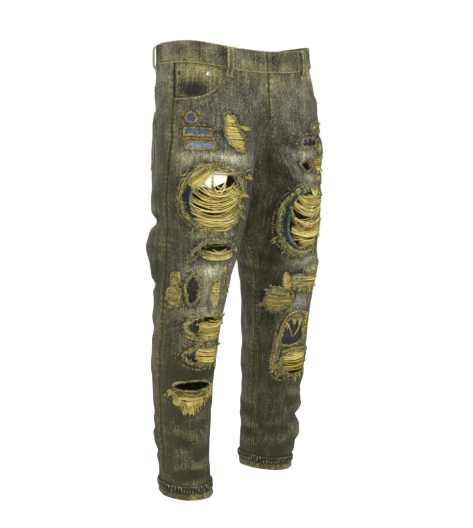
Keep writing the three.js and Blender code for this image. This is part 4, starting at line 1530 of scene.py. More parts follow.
@dataclass
class Waist:
    """The waistband, its five loops and its button's place."""

    right: Leg
    left: Leg
    out: float = 1.2
    back: float = -1.8
    lap: float = 3.4
    underlap: float = 33.0
    overlap: float = 3.0
    lap_run: float = 30.0
    step: float = 3.4
    loop_width: float = 13.0
    loop_top: float = 11.0
    loop_foot: float = -46.0
    stand_off: float = 6.4
    loop_thickness: float = 1.8
    front_loop: float = 127.0
    side_loop: float = 58.0
    drops: tuple[float, ...] = (0, 0.5, 1.4, 3, 4.6, 7, 10, 14, 18, 22, 26, 30, 34, 37, 39, 41, 42, 42.6, 43)
    length: float = field(init=False)

    def __post_init__(self) -> None:
        """Measures the way round the waist."""
        self.quarters = [(self.right, Kind.FRONT), (self.right, Kind.BACK), (self.left, Kind.BACK),
                         (self.left, Kind.FRONT)]
        self.widths = [float(leg.run(kind, WAIST_SEAM)) for leg, kind in self.quarters]
        self.length = sum(self.widths)

    def at(self, along: Array, h: Array, level: Array) -> tuple[Array, Array]:
        """Finds places on the waistband, measured from the middle of the front round the right side.

        Args:
            along: Distances round the waist.
            h: Heights.
            level: Distances out from the cloth.

        Returns:
            The points in millimetres and their outward normals.
        """
        along, h, level = np.broadcast_arrays(along, h, level)
        points, normals = np.zeros((*along.shape, 3)), np.zeros((*along.shape, 3))
        starts = np.concatenate([[0], np.cumsum(self.widths)])
        spans = [(self.left, Kind.FRONT, along < 0, -along / self.widths[3])]
        for i, (leg, kind) in enumerate(self.quarters):
            rest = (along - starts[i]) / self.widths[i]
            within = (along >= starts[i]) & (along < starts[i + 1])
            spans.append((leg, kind, within, rest if i % 2 == 0 else 1 - rest))
        spans.append((self.right, Kind.FRONT, along >= starts[4], (along - starts[4]) / self.widths[0]))
        for leg, kind, mask, share in spans:
            if mask.any():
                angle = leg.panel_angle(kind, np.clip(share[mask], 0, 1), h[mask])
                points[mask], normals[mask] = leg.at(angle, h[mask], level[mask])
        return points, normals

    def lift(self, along: Array) -> Array:
        """Returns how far the lapped end is raised."""
        start = self.length - self.underlap - self.lap_run
        return self.lap * smooth(start, self.length - self.underlap - 4, along)

    def band(self, wardrobe: Wardrobe) -> bpy.types.Object:
        """Makes the waistband.

        Args:
            wardrobe: Dresses the piece.

        Returns:
            The piece.
        """
        along = np.arange(-self.underlap, self.length + self.overlap, self.step)
        along = np.append(along, self.length + self.overlap)[None, :]
        drop = np.array(self.drops)[:, None]
        h = WAIST_TOP - drop
        edge = np.minimum(drop, WAIST_DEPTH - drop)
        roll = 1.1 * smooth(1.8, 0, edge)
        ripple = 0.35 * np.sin(along / 7.3 + 0.08 * drop) * np.sin(along / 31)
        ripple = ripple + 0.3 * np.sin(along / 15 + drop / 9)
        groove = -0.35 * bell(edge - 3.4, 1.0)
        end = np.minimum(along + self.underlap, self.length + self.overlap - along)
        face = self.out + self.lift(along) + (ripple + groove) * smooth(0, 6, edge + 2) - roll
        face = face - 0.8 * smooth(2, 0, end) * (edge >= 0)
        outer, _ = self.at(along, h, face)
        inner, _ = self.at(along, h, self.back + self.lift(along) + roll * 0.6)
        for points in (outer, inner):
            points[..., 2] += 0.5 * np.sin(along / 23) * (1 - drop / WAIST_DEPTH)
        shape = np.broadcast(along, h).shape
        light = 0.12 + 0.22 * bell(edge, 2.4) + 0.07 * np.sin(along / 9) * np.ones(shape)
        light = light + 0.16 * bell(end, 3)
        ochre = 0.55 * smooth(14, 34, drop) * (0.6 + 0.4 * np.sin(along / 27 + 1.2)) + 0.3 * bell(edge, 4)
        # Darker in patches along the band's middle, with painted shade in the stitch grooves 3.4 mm in from
        # each edge.
        dark = 0.16 * bell(drop - 17, 10) * (0.5 + 0.5 * np.sin(along / 13)) + 0.12 * bell(edge - 3.4, 1.2)
        paint = Paint(np.broadcast_to(light, shape) + 0.0, np.broadcast_to(ochre, shape) + 0.0,
                      np.broadcast_to(dark, shape) + 0.0, np.zeros(shape))
        uv = np.stack(np.broadcast_arrays(along, h), axis=-1) * MM
        flat = flat_of(self.at(along, h, 0 * along * h)[0])
        rests = ("front_right", "front_left")
        shell = Shell(outer, inner, uv, paint)
        return wardrobe.cloth(shell, "waistband", DENIM, "denim", flat, rests_on=rests)

    def loop_path(self) -> tuple[Array, Array]:
        """Shapes a loop's inner face, from its top to its foot.

        Returns:
            Its heights and levels.
        """
        stand = self.out + GAP + self.stand_off
        path = np.array([
            (self.loop_top, self.out + 2 * GAP), (self.loop_top - 4, self.out + GAP + self.stand_off * 0.75),
            (self.loop_top - 10, stand), (self.loop_foot + 18, stand - 0.6),
            (self.loop_foot + 12, self.out + GAP + self.stand_off * 0.6), (self.loop_foot + 8, GAP + 0.6),
            (self.loop_foot, GAP + 0.3),
        ])
        for _ in range(3):
            a, b = path[:-1], path[1:]
            middle = np.stack([0.75 * a + 0.25 * b, 0.25 * a + 0.75 * b], axis=1).reshape(-1, 2)
            path = np.concatenate([path[:1], middle, path[-1:]])
        return path[:, 0], path[:, 1]

    def loop(self, wardrobe: Wardrobe, node: str, leg: Leg, from_outseam: float | None) -> bpy.types.Object:
        """Makes one belt loop.

        Args:
            wardrobe: Dresses the piece.
            node: The node it stands for.
            leg: The leg whose hip it is on.
            from_outseam: Its middle's distance in from the outseam, or None at the middle of the back.

        Returns:
            The piece.
        """
        h, level = self.loop_path()
        across = np.array([-1, -0.9, -0.62, -0.45, -0.2, 0, 0.2, 0.45, 0.62, 0.9, 1]) * self.loop_width / 2
        ridge = 0.35 * bell(np.abs(across) - 4.4, 1.2) - 0.7 * smooth(5.6, 6.5, np.abs(across))
        h2, x2 = np.broadcast_arrays(h[:, None], across[None, :])
        low = np.broadcast_to(level[:, None], h2.shape)
        faces = []
        for extra in (self.loop_thickness + ridge, -0.5 * ridge * (ridge < 0)):
            if from_outseam is None:
                point = leg.at(leg.panel_angle(Kind.BACK, np.zeros(h2.shape), h2), h2, low + extra)[0]
                point[..., 0] = x2
            else:
                kind = Kind.FRONT if "front" in node else Kind.BACK
                share = 1 - (from_outseam + x2) / leg.run(kind, WAIST_SEAM)
                point = leg.at(leg.panel_angle(kind, share, h2), h2, low + extra)[0]
            faces.append(point)
        edge = bell(np.abs(x2) - 5.6, 1.6)
        ends = bell(h2 - self.loop_foot, 3) + bell(h2 - self.loop_top, 4)
        spine = 0.14 * bell(np.abs(x2), 1.4)
        paint = Paint(0.1 + 0.28 * edge + 0.2 * ends, 0.35 + 0.2 * ends, spine, 0.3 * ends)
        down = np.concatenate([[0], np.cumsum(np.hypot(np.diff(h), np.diff(level)))])
        uv = np.stack(np.broadcast_arrays(x2, down[:, None]), axis=-1) * MM
        flat_grid = np.stack([x2, np.broadcast_to(down[:, None], x2.shape), 0 * x2], axis=-1)
        return wardrobe.cloth(Shell(faces[0], faces[1], uv, paint), node, DENIM, "denim", flat_of(flat_grid))

    def build(self, wardrobe: Wardrobe) -> None:
        """Makes the waistband and its loops.

        Args:
            wardrobe: Dresses the pieces.
        """
        self.band(wardrobe)
        for leg in (self.right, self.left):
            self.loop(wardrobe, f"belt_loop_front_{leg.name}", leg, self.front_loop)
            self.loop(wardrobe, f"belt_loop_side_{leg.name}", leg, self.side_loop)
        self.loop(wardrobe, "belt_loop_back", self.left, None)


# ------------------------------------------------------------------ hems

@dataclass
class TurnUp:
    """A leg's turned-up cuff and the hem band that stands on it."""

    leg: Leg
    stations: int = 132
    band_height: float = 13.0
    band_thickness: float = 2.2
    tick_pitch: float = 6.4
    cuff_rows: tuple[float, ...] = (0, 0.025, 0.15, 0.3, 0.42, 0.52, 0.64, 0.76, 0.85, 0.91, 0.95, 0.98, 1)
    band_rows: tuple[float, ...] = (0, 0.5, 1.3, 2.6, 4.2, 6, 8, 10, 11.6, 12.8, 13.6, 14)

    def ring(self, heights: Array, levels: Array, extra: Array) -> Array:
        """Returns a ring's grid of points."""
        angle = np.linspace(0, 360, self.stations, endpoint=False)[None, :]
        return self.leg.at(angle, heights[:, None], levels[:, None] + extra)[0]

    def girth(self, grid: Array) -> float:
        """Returns the way round a ring."""
        closed = np.concatenate([grid, grid[:, :1]], axis=1)
        return float(np.linalg.norm(np.diff(closed, axis=1), axis=-1).sum(axis=1).mean())

    def shell(self, heights: Array, inner_levels: Array, outer_levels: Array, bumps: Array,
              paint: Paint) -> tuple[Shell, Flat]:
        """Makes a ring of cloth and measures its flat size.

        Args:
            heights: Its rows' heights.
            inner_levels: Its inner face's distances out from the cloth.
            outer_levels: Its outer face's distances.
            bumps: What is added to the outer face.
            paint: Values at its points.

        Returns:
            The wall and its flat size.
        """
        outer = self.ring(heights, outer_levels, bumps)
        inner = self.ring(heights, inner_levels, 0 * bumps)
        girth = self.girth(outer)
        u = np.linspace(0, girth, self.stations + 1)[None, :]
        down = np.concatenate([[0], np.cumsum(np.abs(np.diff(heights)))])[:, None]
        uv = np.stack(np.broadcast_arrays(u, -down), axis=-1) * MM
        closed = np.concatenate([outer, outer[:, :1]], axis=1)
        area = grid_area(closed)
        width, length = girth * MM, float(down[-1, 0]) * MM
        return Shell(outer, inner, uv, paint, closed=True), Flat(width, length, min(area, width * length))

    def build(self, wardrobe: Wardrobe) -> None:
        """Makes the cuff and the hem band.

        Args:
            wardrobe: Dresses the pieces.
        """
        hem, name = self.leg.hem, self.leg.name
        top = hem + CUFF_TOP
        angle = np.linspace(0, 360, self.stations, endpoint=False)[None, :]
        h = top - CUFF_TOP * np.array(self.cuff_rows)
        low = 0.6 + 1.5 * smooth(top - self.band_height, hem, h)
        roll = 0.9 * smooth(hem + 2.6, hem, h) + 0.5 * smooth(top - 1, top, h)
        around = np.radians(angle)
        wave = 0.3 * np.sin(around * 5 + 0.8) + 0.25 * np.sin(around * 11 + h[:, None] / 9)
        shape = (len(h), self.stations)
        light = 0.12 * bell(h - hem, 3)[:, None] + 0.07 * np.sin(around * 23) * bell(h - hem - 8, 8)[:, None]
        # The cuff gets painted shade under the hem band's lower edge, and a faint darker ripple round the
        # leg.
        dark = 0.3 * bell(h - (top - self.band_height), 3)[:, None] + 0.05 * (1 + np.sin(around * 9))
        paint = Paint(light + np.zeros(shape), np.full(shape, 0.25), dark + np.zeros(shape), np.zeros(shape))
        shell, flat = self.shell(h, low + roll * 0.4, low + CLOTH - roll, wave * 0.6, paint)
        wardrobe.cloth(shell, f"cuff_{name}", WRONG_SIDE, "denim_wrong_side", flat, held="folded",
                       rests_on=(f"front_{name}", f"back_{name}"))
        base = CLOTH + 2 * GAP + 0.6
        h = top + 1 - np.array(self.band_rows)
        edge = np.minimum(top + 1 - h, h - (top - self.band_height))
        roll = 1.0 * smooth(1.6, 0, edge)
        girth = self.girth(self.ring(h, np.full(h.shape, base), 0 * angle))
        tick = np.sin(around * round(girth / self.tick_pitch) + 1.3 * np.sin(around * 6)
                      + 0.16 * (h[:, None] - top))
        swell = 0.55 * np.sin(math.pi * np.clip((top + 1 - h) / self.band_rows[-1], 0, 1))[:, None]
        shape = (len(h), self.stations)
        light = 1.15 * np.clip(tick, 0, 1) ** 2 + 0.6 * bell(top + 1 - h, 1.3)[:, None] - 0.22
        # The band's roping wears it in light and dark ticks; its lower edge gets painted shade where it rolls
        # under.
        dark = 0.6 * np.clip(-tick, 0, 1) + 0.3 * bell(h - (top - self.band_height), 2)[:, None]
        paint = Paint(light + np.zeros(shape), 0.18 + 0.3 * bell(top + 1 - h, 2)[:, None] + np.zeros(shape),
                      dark + np.zeros(shape), np.zeros(shape))
        outer = base + self.band_thickness - roll
        shell, flat = self.shell(h, base + roll * 0.4, outer, swell + 0.3 * tick, paint)
        wardrobe.cloth(shell, f"hem_band_{name}", DARK_DENIM, "denim_dark", flat, held="folded",
                       rests_on=(f"cuff_{name}",))


# ------------------------------------------------------------------ rips and mending

@dataclass(frozen=True)
class Weft:
    """A curtain of bare weft threads inside an outline."""

    region: Oval
    pitch: float = 1.7
    radius: float = 0.62
    strands: int = 1
    sag: float = 0.0
    level: float = -0.6
    bulge: float = 0.8
    gaps: float = 0.06
    tilt: float = 0.0
    spread: float = 0.0
    palette: Palette = WEFT


@dataclass(frozen=True)
class Tuft:
    """A pointed bunch of frayed threads: its place, the way it points in degrees, and its length."""

    x: float
    h: float
    angle: float
    length: float
    fibres: int = 12
    palette: Palette = FRAY
    width: float = 3.0
    closing: float = 0.8


def fringe(*bunches: tuple[float, float, float, float, Palette]) -> tuple[Tuft, ...]:
    """Returns broad, dense tufts, each given as (x, h, angle, length, palette)."""
    return tuple(Tuft(*bunch[:4], fibres=26, palette=bunch[4], width=4.6, closing=0.1) for bunch in bunches)


@dataclass(frozen=True)
class Strand:
    """Loose threads running together along places (x, h) on the cloth."""

    way: tuple[tuple[float, float], ...]
    count: int = 3
    spread: float = 1.0
    level: float = 1.2
    radius: float = 0.5
    palette: Palette = WEFT
    fuzz: float = 0.9


@dataclass(frozen=True)
class Tear:
    """One damaged place: the hole, the frayed band round it, its bare wefts and its whip stitches."""

    edge: Oval
    cut: bool = True
    band: float = 6.0
    density: float = 1.6
    length: float = 6.0
    whip: Oval | None = None
    wefts: tuple[Weft, ...] = ()
    tufts: tuple[Tuft, ...] = ()
    strands: tuple[Strand, ...] = ()
    palette: Palette = FRAY
    worn: bool = True


RIGHT_TEARS = (
    # the round badge and the two striped windows
    Tear(Oval(43, -137, 24, 19), band=2.4, density=2.2, length=2.4, whip=Oval(43, -137, 43, 35),
         palette=MAT,
         strands=(Strand(((34, -146), (28, -137), (34, -128), (43, -124)), 3, 0.7, 0.9, 0.45),)),
    Tear(Oval(60, -164, 63, 12, square=7), band=2.2, density=1.5, length=2.4,
         whip=Oval(59, -164, 75, 27, square=7), palette=MAT,
         strands=(Strand(((30, -172), (60, -172.5), (90, -172)), 3, 0.6, 0.9, 0.45),)),
    Tear(Oval(66, -191, 63, 13, square=7), band=2.2, density=1.5, length=2.4,
         whip=Oval(66, -191, 75, 27, square=7), palette=MAT,
         strands=(Strand(((36, -199), (66, -199.5), (96, -199)), 3, 0.6, 0.9, 0.45),)),
    # the tear on the hip, worn down to its wefts
    Tear(Oval(137, -160, 30, 82, turn=20, ragged=0.09), band=4, density=1.8, length=5,
         wefts=(Weft(Oval(137, -160, 29, 80, turn=20), pitch=1.25, radius=0.72, level=-0.4, gaps=0.02,
                     sag=1.5),),
         tufts=(Tuft(152, -148, -8, 20, 10, WEFT), Tuft(156, -152, 12, 15, 8, WEFT),
                Tuft(152, -198, -60, 9), Tuft(127, -120, 110, 7))),
    # the thigh
    Tear(Oval(101, -294, 126, 124, ragged=0.02), band=8, density=3.8, length=8,
         whip=Oval(101, -293, 156, 146),
         wefts=(Weft(Oval(111, -308, 105, 100, square=2.4), pitch=5.3, radius=0.72,
                     strands=3, sag=23, level=0.4, bulge=3, gaps=0.03, spread=1.9),
                Weft(Oval(116, -316, 96, 82), pitch=4.4, radius=0.62,
                     strands=2, sag=15, level=-0.8, bulge=2.2, gaps=0.15, tilt=6, spread=1.4),
                Weft(Oval(70, -252, 44, 24, turn=-24), pitch=1.5, radius=0.6,
                     strands=2, sag=1, level=0.6, bulge=1, tilt=15),
                Weft(Oval(120, -243, 70, 14), pitch=2.6, radius=0.6,
                     strands=2, sag=2, level=0.6, bulge=1, gaps=0.2),
                Weft(Oval(150, -286, 26, 26), pitch=5.5, radius=0.62,
                     strands=3, sag=5, level=0.6, bulge=1.6, gaps=0.1, tilt=-5, spread=1.6)),
         tufts=(Tuft(168, -252, -8, 26, 18, WEFT), Tuft(168, -288, -14, 28, 18, WEFT),
                Tuft(170, -314, -50, 14), Tuft(164, -240, 30, 12), Tuft(40, -252, 160, 10),
                Tuft(166, -332, -34, 14), Tuft(150, -232, 64, 10), Tuft(152, -350, -70, 16),
                Tuft(60, -356, -110, 10), Tuft(120, -360, -80, 14), Tuft(92, -360, -96, 10)),
         strands=(Strand(((98, -236), (97, -262), (99, -286), (96, -304)), 3, 0.7, 2.6, 0.55, GOLD),
                  Strand(((36, -306), (34, -288), (38, -264), (52, -244), (74, -234)), 6, 1.2, 1.0, 0.5,
                         GOLD),
                  Strand(((30, -318), (28, -290), (32, -262), (46, -238)), 3, 0.8, 0.9, 0.5, PALE),
                  Strand(((44, -330), (60, -346), (84, -356), (112, -358), (138, -348)), 6, 1.6, 1.2, 0.5),
                  Strand(((150, -244), (163, -262), (166, -290), (160, -322), (144, -344)), 7, 2.4, 1.4,
                         0.5, FRAY))),
    # above the knee
    Tear(Oval(108, -396, 70, 30, ragged=0.05), band=6, density=3.2, length=6, palette=LINT,
         wefts=(Weft(Oval(112, -408, 66, 24, square=2.2), pitch=2.0, radius=0.66,
                     strands=2, sag=6, level=0.3, bulge=2.6, gaps=0.04),
                Weft(Oval(108, -388, 54, 8), pitch=3.0, radius=0.55,
                     strands=1, sag=-2, level=-0.2, bulge=1.0)),
         tufts=(Tuft(146, -380, 40, 12), Tuft(150, -400, -20, 12), Tuft(52, -416, 200, 8),
                Tuft(138, -426, -84, 14), Tuft(118, -428, -92, 12), Tuft(98, -424, -80, 10),
                Tuft(128, -432, -88, 14, 6, WEFT)),
         strands=(Strand(((74, -386), (92, -381), (116, -380), (138, -386)), 4, 1.1, 1.2, 0.5, PALE),)),
    Tear(Oval(60, -408, 11, 30, turn=-38), band=4, density=2.4, length=4, palette=LINT,
         strands=(Strand(((72, -392), (62, -402), (54, -420)), 4, 1.0, 1.4, 0.55, PALE),
                  Strand(((66, -396), (54, -408), (49, -422)), 3, 0.8, 1.2, 0.5, WHIP))),
    # two yellow worn spots by the outseam
    Tear(Oval(25, -459, 18, 26, square=3, ragged=0.08), cut=False, band=3, density=1.8, length=4,
         wefts=(Weft(Oval(25, -459, 17, 25, square=3), pitch=1.3, radius=0.55, level=0.7, bulge=0.9,
                     gaps=0.04, palette=MAT),),
         strands=(Strand(((16, -472), (25, -475), (35, -472)), 3, 0.7, 0.9, 0.5, FRAY),)),
    Tear(Oval(24, -495, 25, 37, square=3, ragged=0.07), cut=False, band=4, density=2.2, length=5,
         wefts=(Weft(Oval(24, -495, 24, 35, square=3), pitch=1.3, radius=0.58, level=0.7, bulge=1.0,
                     gaps=0.03, palette=MAT),),
         tufts=(Tuft(14, -512, -120, 8), Tuft(26, -515, -90, 8), Tuft(37, -508, -50, 7))),
    # the long oval with its dark backing
    Tear(Oval(62, -479, 25, 56, ragged=0.07), band=4.5, density=2.6, length=4, whip=Oval(61, -479, 47, 82),
         palette=LINT,
         strands=(Strand(((51, -500), (48, -480), (51, -458), (60, -449)), 4, 0.9, 1.2, 0.5, GOLD),
                  Strand(((80, -446), (85, -470), (84, -494), (76, -514)), 4, 0.8, 0.9, 0.5, PALE),
                  Strand(((92, -452), (95, -476), (92, -504)), 3, 0.8, 0.7, 0.45, WHIP))),
    Tear(Oval(110, -490, 24, 62, ragged=0.1), cut=False, band=4, density=1.2, length=6, palette=LINT,
         wefts=(Weft(Oval(109, -478, 22, 36), pitch=1.7, radius=0.58, level=0.6, bulge=0.8, gaps=0.12),
                Weft(Oval(110, -508, 14, 26), pitch=2.2, radius=0.55, level=0.5, bulge=0.6, gaps=0.25)),
         tufts=(Tuft(104, -520, -86, 14, 6, WEFT),),
         strands=(Strand(((112, -438), (113, -458), (111, -482)), 2, 0.5, 1.6, 0.55, GOLD),)),
    Tear(Oval(135, -470, 11, 36, turn=-6), band=4, density=2.4, length=5, whip=Oval(134, -470, 30, 56),
         palette=LINT,
         tufts=(Tuft(148, -474, -18, 16, 14, WEFT), Tuft(148, -484, -40, 12)),
         strands=(Strand(((129, -488), (127, -470), (131, -453)), 4, 0.9, 1.2, 0.5, PALE),)),
    # the shin, two windows one over the other
    Tear(Oval(104, -556, 96, 44, ragged=0.05), band=6, density=3.4, length=6, whip=Oval(99, -558, 124, 66),
         wefts=(Weft(Oval(117, -562, 70, 40, square=3), pitch=1.9, radius=0.74,
                     strands=2, sag=6, level=0.2, bulge=2.4, gaps=0.02, palette=WEFT),),
         tufts=(Tuft(150, -540, 30, 12), Tuft(156, -556, -20, 10),
                Tuft(87, -552, 182, 9, 16, WEFT, 4.0, 0.4), Tuft(88, -566, 186, 10, 18, MAT, 4.4, 0.4),
                Tuft(96, -576, -110, 9, 14, WEFT)),
         strands=(Strand(((60, -534), (82, -531), (110, -532), (140, -538)), 5, 1.3, 1.3, 0.5, PALE),
                  Strand(((56, -574), (80, -583), (112, -585), (144, -576)), 5, 1.6, 1.4, 0.5, WEFT),
                  Strand(((58, -540), (54, -556), (58, -574)), 3, 0.8, 0.9, 0.45, PALE))),
    Tear(Oval(98, -614, 78, 38, ragged=0.06), band=6, density=3.2, length=6, whip=Oval(92, -616, 100, 58),
         wefts=(Weft(Oval(109, -616, 58, 34, square=3), pitch=1.8, radius=0.74,
                     strands=2, sag=3, level=0.3, bulge=2.2, gaps=0.02, tilt=-3),),
         tufts=(Tuft(140, -600, 10, 12), Tuft(110, -636, -84, 10), Tuft(130, -636, -60, 12, 8, WEFT),
                Tuft(84, -610, 178, 9, 16, WEFT, 4.0, 0.4), Tuft(86, -624, 190, 9, 16, MAT, 4.4, 0.4))),
    # the open slit with its hanging fringe
    Tear(Oval(74, -678, 84, 21, ragged=0.03), band=2.4, density=1.2, length=3, worn=False,
         wefts=(Weft(Oval(75, -697, 78, 18, square=3), pitch=1.7, radius=0.55,
                     strands=2, sag=9, level=0.9, bulge=1.6, gaps=0.05, palette=MAT),
                Weft(Oval(66, -712, 60, 20, square=2.4), pitch=1.6, radius=0.52,
                     strands=2, sag=7, level=1.0, bulge=1.4, gaps=0.05)),
         tufts=fringe((32, -692, 215, 10, WEFT), (42, -704, -100, 14, WEFT), (52, -714, -84, 17, MAT),
                      (60, -720, -95, 17, WEFT), (68, -722, -80, 15, WEFT), (78, -717, -92, 15, MAT),
                      (88, -711, -88, 14, WEFT), (99, -704, -98, 13, MAT), (110, -694, -80, 11, WEFT),
                      (116, -686, -20, 8, WEFT)),
         strands=(Strand(((32, -680), (50, -669), (78, -667), (108, -672), (116, -680)), 3, 0.8, 1.0, 0.5,
                         MAT),)),
)

LEFT_TEARS = (
    # the hip
    Tear(Oval(94, -152, 58, 22, ragged=0.08), cut=False, band=5, density=2.8, length=6, palette=LINT,
         wefts=(Weft(Oval(104, -150, 34, 10), pitch=1.8, radius=0.5, level=0.8, bulge=0.8, gaps=0.2),),
         tufts=(Tuft(64, -150, 150, 9), Tuft(70, -160, 200, 9))),
    Tear(Oval(90, -156, 24, 7, square=3), band=2, density=1.0, length=3, palette=LINT),
    Tear(Oval(136, -184, 52, 18, square=3.4), band=4, density=2.4, length=5, palette=LINT,
         whip=Oval(138, -182, 72, 36),
         tufts=(Tuft(176, -168, 40, 12), Tuft(108, -184, 200, 8)),
         strands=(Strand(((112, -174), (136, -173), (160, -175)), 4, 0.9, 1.2, 0.5, PALE),)),
    Tear(Oval(88, -196, 40, 26, ragged=0.1), cut=False, band=5, density=2.6, length=6, palette=LINT,
         wefts=(Weft(Oval(92, -194, 24, 14), pitch=1.8, radius=0.5, level=0.8, bulge=0.8, gaps=0.25),),
         tufts=(Tuft(70, -204, 168, 24, 16), Tuft(72, -210, 196, 15))),
    Tear(Oval(108, -232, 58, 26, ragged=0.06), band=5, density=2.8, length=6, palette=LINT,
         wefts=(Weft(Oval(104, -232, 56, 26, square=3), pitch=1.5, radius=0.62,
                     strands=2, level=0.5, bulge=1.8, gaps=0.04, sag=3, palette=GOLD),),
         tufts=(Tuft(80, -246, 200, 8), Tuft(74, -220, 170, 10), Tuft(112, -248, -80, 9))),
    Tear(Oval(152, -233, 26, 20, turn=30, square=1.6), band=4, density=1.8, length=4, palette=LINT),
    Tear(Oval(104, -262, 44, 18, ragged=0.08), cut=False, band=4, density=2.4, length=5, palette=LINT),
    # the thigh
    Tear(Oval(148, -348, 132, 136, ragged=0.02), band=8, density=3.8, length=8,
         whip=Oval(150, -347, 160, 158),
         wefts=(Weft(Oval(134, -338, 104, 120, square=2.3), pitch=22, radius=0.72,
                     strands=15, sag=19, level=0.6, bulge=3.6, gaps=0.0, spread=6.4),
                Weft(Oval(132, -362, 92, 90), pitch=8, radius=0.62,
                     strands=3, sag=8, level=-1.0, bulge=2.2, gaps=0.2, tilt=-8, spread=2.6),
                Weft(Oval(136, -306, 84, 16), pitch=2.2, radius=0.6,
                     strands=2, sag=3, level=0.6, bulge=1.2)),
         tufts=(Tuft(84, -300, 170, 13), Tuft(82, -330, 200, 12), Tuft(84, -352, 176, 12),
                Tuft(86, -384, 210, 12), Tuft(214, -388, -20, 14), Tuft(204, -286, 60, 12),
                Tuft(214, -336, 10, 10), Tuft(190, -412, -50, 12), Tuft(110, -416, -90, 13),
                Tuft(150, -418, -84, 12)),
         strands=(Strand(((90, -386), (83, -356), (84, -326), (98, -298)), 6, 1.6, 1.2, 0.5, GOLD),
                  Strand(((84, -390), (76, -356), (78, -318), (92, -290)), 3, 0.9, 0.9, 0.5, PALE),
                  Strand(((120, -326), (140, -356), (166, -372)), 6, 1.8, 3.0, 0.55),
                  Strand(((196, -324), (172, -362), (146, -378)), 6, 1.8, 2.8, 0.55),
                  Strand(((104, -408), (138, -418), (172, -412), (198, -392)), 6, 1.8, 1.3, 0.5))),
    # above the knee
    Tear(Oval(92, -455, 76, 22, ragged=0.09), cut=False, band=5, density=3.4, length=6, palette=LINT,
         strands=(Strand(((58, -462), (80, -452), (108, -450)), 5, 2.2, 1.4, 0.5, FRAY),
                  Strand(((118, -452), (134, -450), (150, -452)), 4, 1.6, 1.2, 0.5, WHIP))),
    Tear(Oval(108, -481, 100, 32, ragged=0.06), cut=False, band=5, density=3.0, length=7,
         wefts=(Weft(Oval(108, -481, 94, 28, square=3), pitch=1.9, radius=0.52,
                     strands=2, level=0.8, bulge=1.8, gaps=0.1, sag=4, spread=0.9, palette=MAT),
                Weft(Oval(98, -484, 70, 18), pitch=2.6, radius=0.56,
                     strands=2, level=1.6, bulge=1.8, gaps=0.2, sag=5, spread=1.2)),
         tufts=(Tuft(62, -478, 190, 16), Tuft(66, -494, 210, 14), Tuft(126, -462, 60, 12),
                Tuft(84, -496, -100, 12), Tuft(102, -498, -84, 11), Tuft(118, -494, -70, 10),
                Tuft(146, -492, -60, 9))),
    Tear(Oval(168, -480, 9, 36, turn=-22), cut=False, band=3, density=2.4, length=5, palette=WEFT,
         wefts=(Weft(Oval(168, -480, 9, 36, turn=-22), pitch=1.4, radius=0.5, level=0.8, bulge=0.8,
                     tilt=3),)),
    Tear(Oval(176, -520, 58, 46, ragged=0.07), cut=False, band=5, density=2.8, length=7,
         wefts=(Weft(Oval(176, -521, 52, 36, square=2.6), pitch=1.9, radius=0.52,
                     strands=2, level=0.9, bulge=1.8, gaps=0.1, sag=4, spread=0.9, palette=MAT),),
         tufts=(Tuft(204, -500, 10, 10), Tuft(206, -532, -20, 9), Tuft(164, -542, -100, 12),
                Tuft(148, -538, -120, 10), Tuft(196, -494, 50, 12), Tuft(180, -496, 80, 10))),
    # the knee: a dark patch under an arched, whip-stitched edge
    Tear(Oval(126, -594, 54, 56, square=3.4, ragged=0.03), band=3, density=2.0, length=5, palette=LINT,
         whip=Oval(120, -626, 92, 154, square=3.4),
         tufts=(Tuft(146, -572, -120, 16, 10, WEFT), Tuft(112, -568, -60, 14, 8, WEFT),
                Tuft(128, -566, -100, 10, 8, WEFT)),
         strands=(Strand(((84, -570), (100, -553), (120, -546), (142, -552), (154, -572), (157, -610),
                          (158, -650), (156, -684)), 4, 1.4, 1.0, 0.45, WHIP, 1.6),
                  Strand(((96, -578), (108, -562), (126, -556), (142, -564), (149, -584), (151, -612)), 4,
                         1.2, 1.0, 0.45, GOLD, 1.4),
                  Strand(((106, -570), (116, -590), (122, -602)), 4, 1.2, 1.4, 0.5),
                  Strand(((146, -570), (134, -588), (126, -602)), 4, 1.2, 1.4, 0.5),
                  Strand(((148, -622), (150, -652), (148, -688)), 5, 1.6, 1.0, 0.45, MAT))),
    Tear(Oval(88, -588, 9, 66, turn=3), cut=False, band=3, density=2.2, length=4,
         wefts=(Weft(Oval(88, -588, 11, 66, square=4), pitch=1.4, radius=0.6, level=0.9, bulge=0.6,
                     palette=GOLD),)),
    Tear(Oval(157, -640, 5, 84, turn=-1), cut=False, band=2.0, density=1.6, length=4,
         strands=(Strand(((162, -598), (164, -640), (161, -682)), 3, 0.9, 1.0, 0.45, PALE),)),
    Tear(Oval(98, -664, 84, 52, square=3, ragged=0.04), band=5, density=3.2, length=7,
         wefts=(Weft(Oval(98, -662, 80, 46, square=3.4), pitch=2.4, radius=0.56,
                     strands=2, level=0.5, bulge=2.2, gaps=0.08, sag=4, spread=1.0, palette=GOLD),
                Weft(Oval(104, -650, 66, 18, square=3), pitch=1.5, radius=0.6,
                     strands=2, level=0.8, bulge=1.6)),
         tufts=(Tuft(60, -642, 160, 10), Tuft(58, -668, 190, 12), Tuft(70, -690, -100, 12),
                Tuft(98, -694, -90, 14), Tuft(126, -692, -80, 12), Tuft(140, -688, -60, 12),
                Tuft(84, -692, -94, 11)),
         strands=(Strand(((62, -636), (90, -632), (120, -632), (142, -638)), 5, 1.8, 1.4, 0.5, WEFT),)),
)

